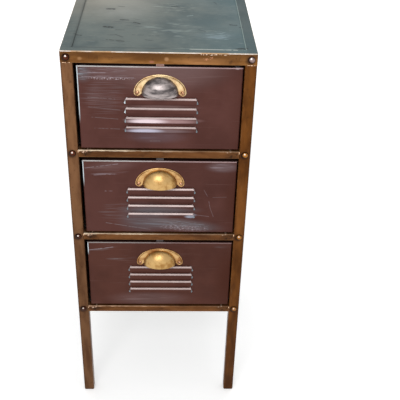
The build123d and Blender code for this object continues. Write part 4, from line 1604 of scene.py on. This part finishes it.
@dataclass
class Studio:
    """Plain floor, soft light and the camera at the photograph's angle."""

    sky_strength: float = 0.55
    key_power: float = 24.0
    key_size: float = 1.35
    key_place: Triple = (-0.35, -2.1, 1.75)
    top_power: float = 10.0
    top_size: float = 1.2
    top_place: Triple = (0.1, 0.35, 2.3)
    white: Colour = (1.0, 1.0, 1.0)
    floor_white: Colour = (0.92, 0.92, 0.92)
    floor_half: float = 20.0
    floor_glow: Pair = (0.42, 1.1)
    floor_fade: Pair = (0.9, 2.6)
    image_pixels: float = 400.0
    focal_pixels: float = 748.64
    sensor: float = 36.0
    camera_side: float = 17.7 * MM
    camera_back: float = 1137.4 * MM
    camera_rise: float = 460.6 * MM
    yaw: float = 2.847
    pitch: float = 33.121
    roll: float = 2.086

    def camera(self) -> None:
        """Place the camera, turned by yaw, then tipped down by pitch, then rolled."""
        front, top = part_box("leg_front_left")[0].y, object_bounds()[1].z
        yaw, pitch, roll = (math.radians(angle) for angle in (self.yaw, self.pitch, self.roll))
        ahead = Vector((math.sin(yaw) * math.cos(pitch), math.cos(yaw) * math.cos(pitch), -math.sin(pitch)))
        level = Vector((math.cos(yaw), -math.sin(yaw), 0.0))
        above = level.cross(ahead)
        right = level * math.cos(roll) + above * math.sin(roll)
        up = above * math.cos(roll) - level * math.sin(roll)
        lens = bpy.data.cameras.new("viewpoint")
        lens.sensor_width = self.sensor
        lens.lens = self.focal_pixels * self.sensor / self.image_pixels
        made = bpy.data.objects.new("viewpoint", lens)
        place = Vector((self.camera_side, front - self.camera_back, top + self.camera_rise))
        made.matrix_world = Matrix.Translation(place) @ Matrix((right, up, -ahead)).transposed().to_4x4()
        bpy.context.scene.collection.objects.link(made)
        bpy.context.scene.camera = made

    def lamp(self, name: str, place: Triple, power: float, size: float) -> None:
        """Hang a square soft lamp that faces the middle of the cabinet.

        Args:
            name: the lamp's name.
            place: where it hangs.
            power: its power in watts.
            size: the length of its side.
        """
        low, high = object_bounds()
        light = bpy.data.lights.new(name, "AREA")
        light.energy = power
        light.size = size
        made = bpy.data.objects.new(name, light)
        aim = (low + high) / 2 - Vector(place)
        made.matrix_world = Matrix.Translation(place) @ aim.to_track_quat("-Z", "Y").to_matrix().to_4x4()
        made.visible_camera = False
        bpy.context.scene.collection.objects.link(made)

    def seen(self, graph: Graph) -> Socket:
        """Tell the rays that see the background as it is from those that only light the object.

        Args:
            graph: the node tree that asks.

        Returns:
            1 on rays from the camera, a gloss or a glass, and 0 on the others.
        """
        rays = graph.node("ShaderNodeLightPath").outputs
        mirrored = graph.maths(Maths.MOST, rays["Is Glossy Ray"], rays["Is Transmission Ray"])
        return graph.maths(Maths.MOST, rays["Is Camera Ray"], mirrored)

    def sky(self) -> None:
        """Light the scene evenly, with a white background wherever it is seen."""
        world = bpy.data.worlds.new("pale_sky")
        world.use_nodes = True
        graph = Graph(world.node_tree)
        strength = graph.scaled(self.seen(graph), self.sky_strength, 1.0)
        glow = graph.node("ShaderNodeBackground", {"Color": self.white, "Strength": strength})
        graph.node("ShaderNodeOutputWorld", {"Surface": glow.outputs[0]})
        bpy.context.scene.world = world

    def floor(self) -> None:
        """Lay a white floor that keeps the cabinet's soft shadow and glows more further away."""
        half = self.floor_half
        corners = [(-half, -half, 0.0), (half, -half, 0.0), (half, half, 0.0), (-half, half, 0.0)]
        mesh = bpy.data.meshes.new("floor")
        mesh.from_pydata(corners, [], [(0, 1, 2, 3)])
        made = bpy.data.objects.new("floor", mesh)
        bpy.context.scene.collection.objects.link(made)
        material = bpy.data.materials.new("floor_white")
        material.use_nodes = True
        graph = Graph(material.node_tree)
        away = graph.span(graph.length(graph.position()), *self.floor_fade)
        feeds = {
            "Base Color": self.floor_white,
            "Roughness": 1.0,
            "Specular IOR Level": 0.0,
            "Emission Color": self.floor_white,
            "Emission Strength": graph.times(self.seen(graph), graph.scaled(away, *self.floor_glow)),
        }
        shader = graph.node("ShaderNodeBsdfPrincipled", feeds)
        graph.node("ShaderNodeOutputMaterial", {"Surface": shader.outputs[0]})
        made.data.materials.append(material)
        made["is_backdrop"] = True

    def build(self) -> None:
        """Set up the floor, sky, lamps, camera and colour view."""
        self.floor()
        self.sky()
        self.lamp("key", self.key_place, self.key_power, self.key_size)
        self.lamp("overhead", self.top_place, self.top_power, self.top_size)
        self.camera()
        bpy.context.scene.view_settings.view_transform = "Standard"
        LOG.info("studio ready")


def main() -> None:
    """Dress the frame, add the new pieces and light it."""
    logging.basicConfig(level=logging.INFO, format="%(name)s: %(message)s")
    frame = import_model()
    effects = Effects()
    Carcass(effects).build(frame["nodes"])
    for number in DRAWERS:
        Drawer(number, effects).build(frame["nodes"])
    Studio().build()


if __name__ == "__main__":
    main()
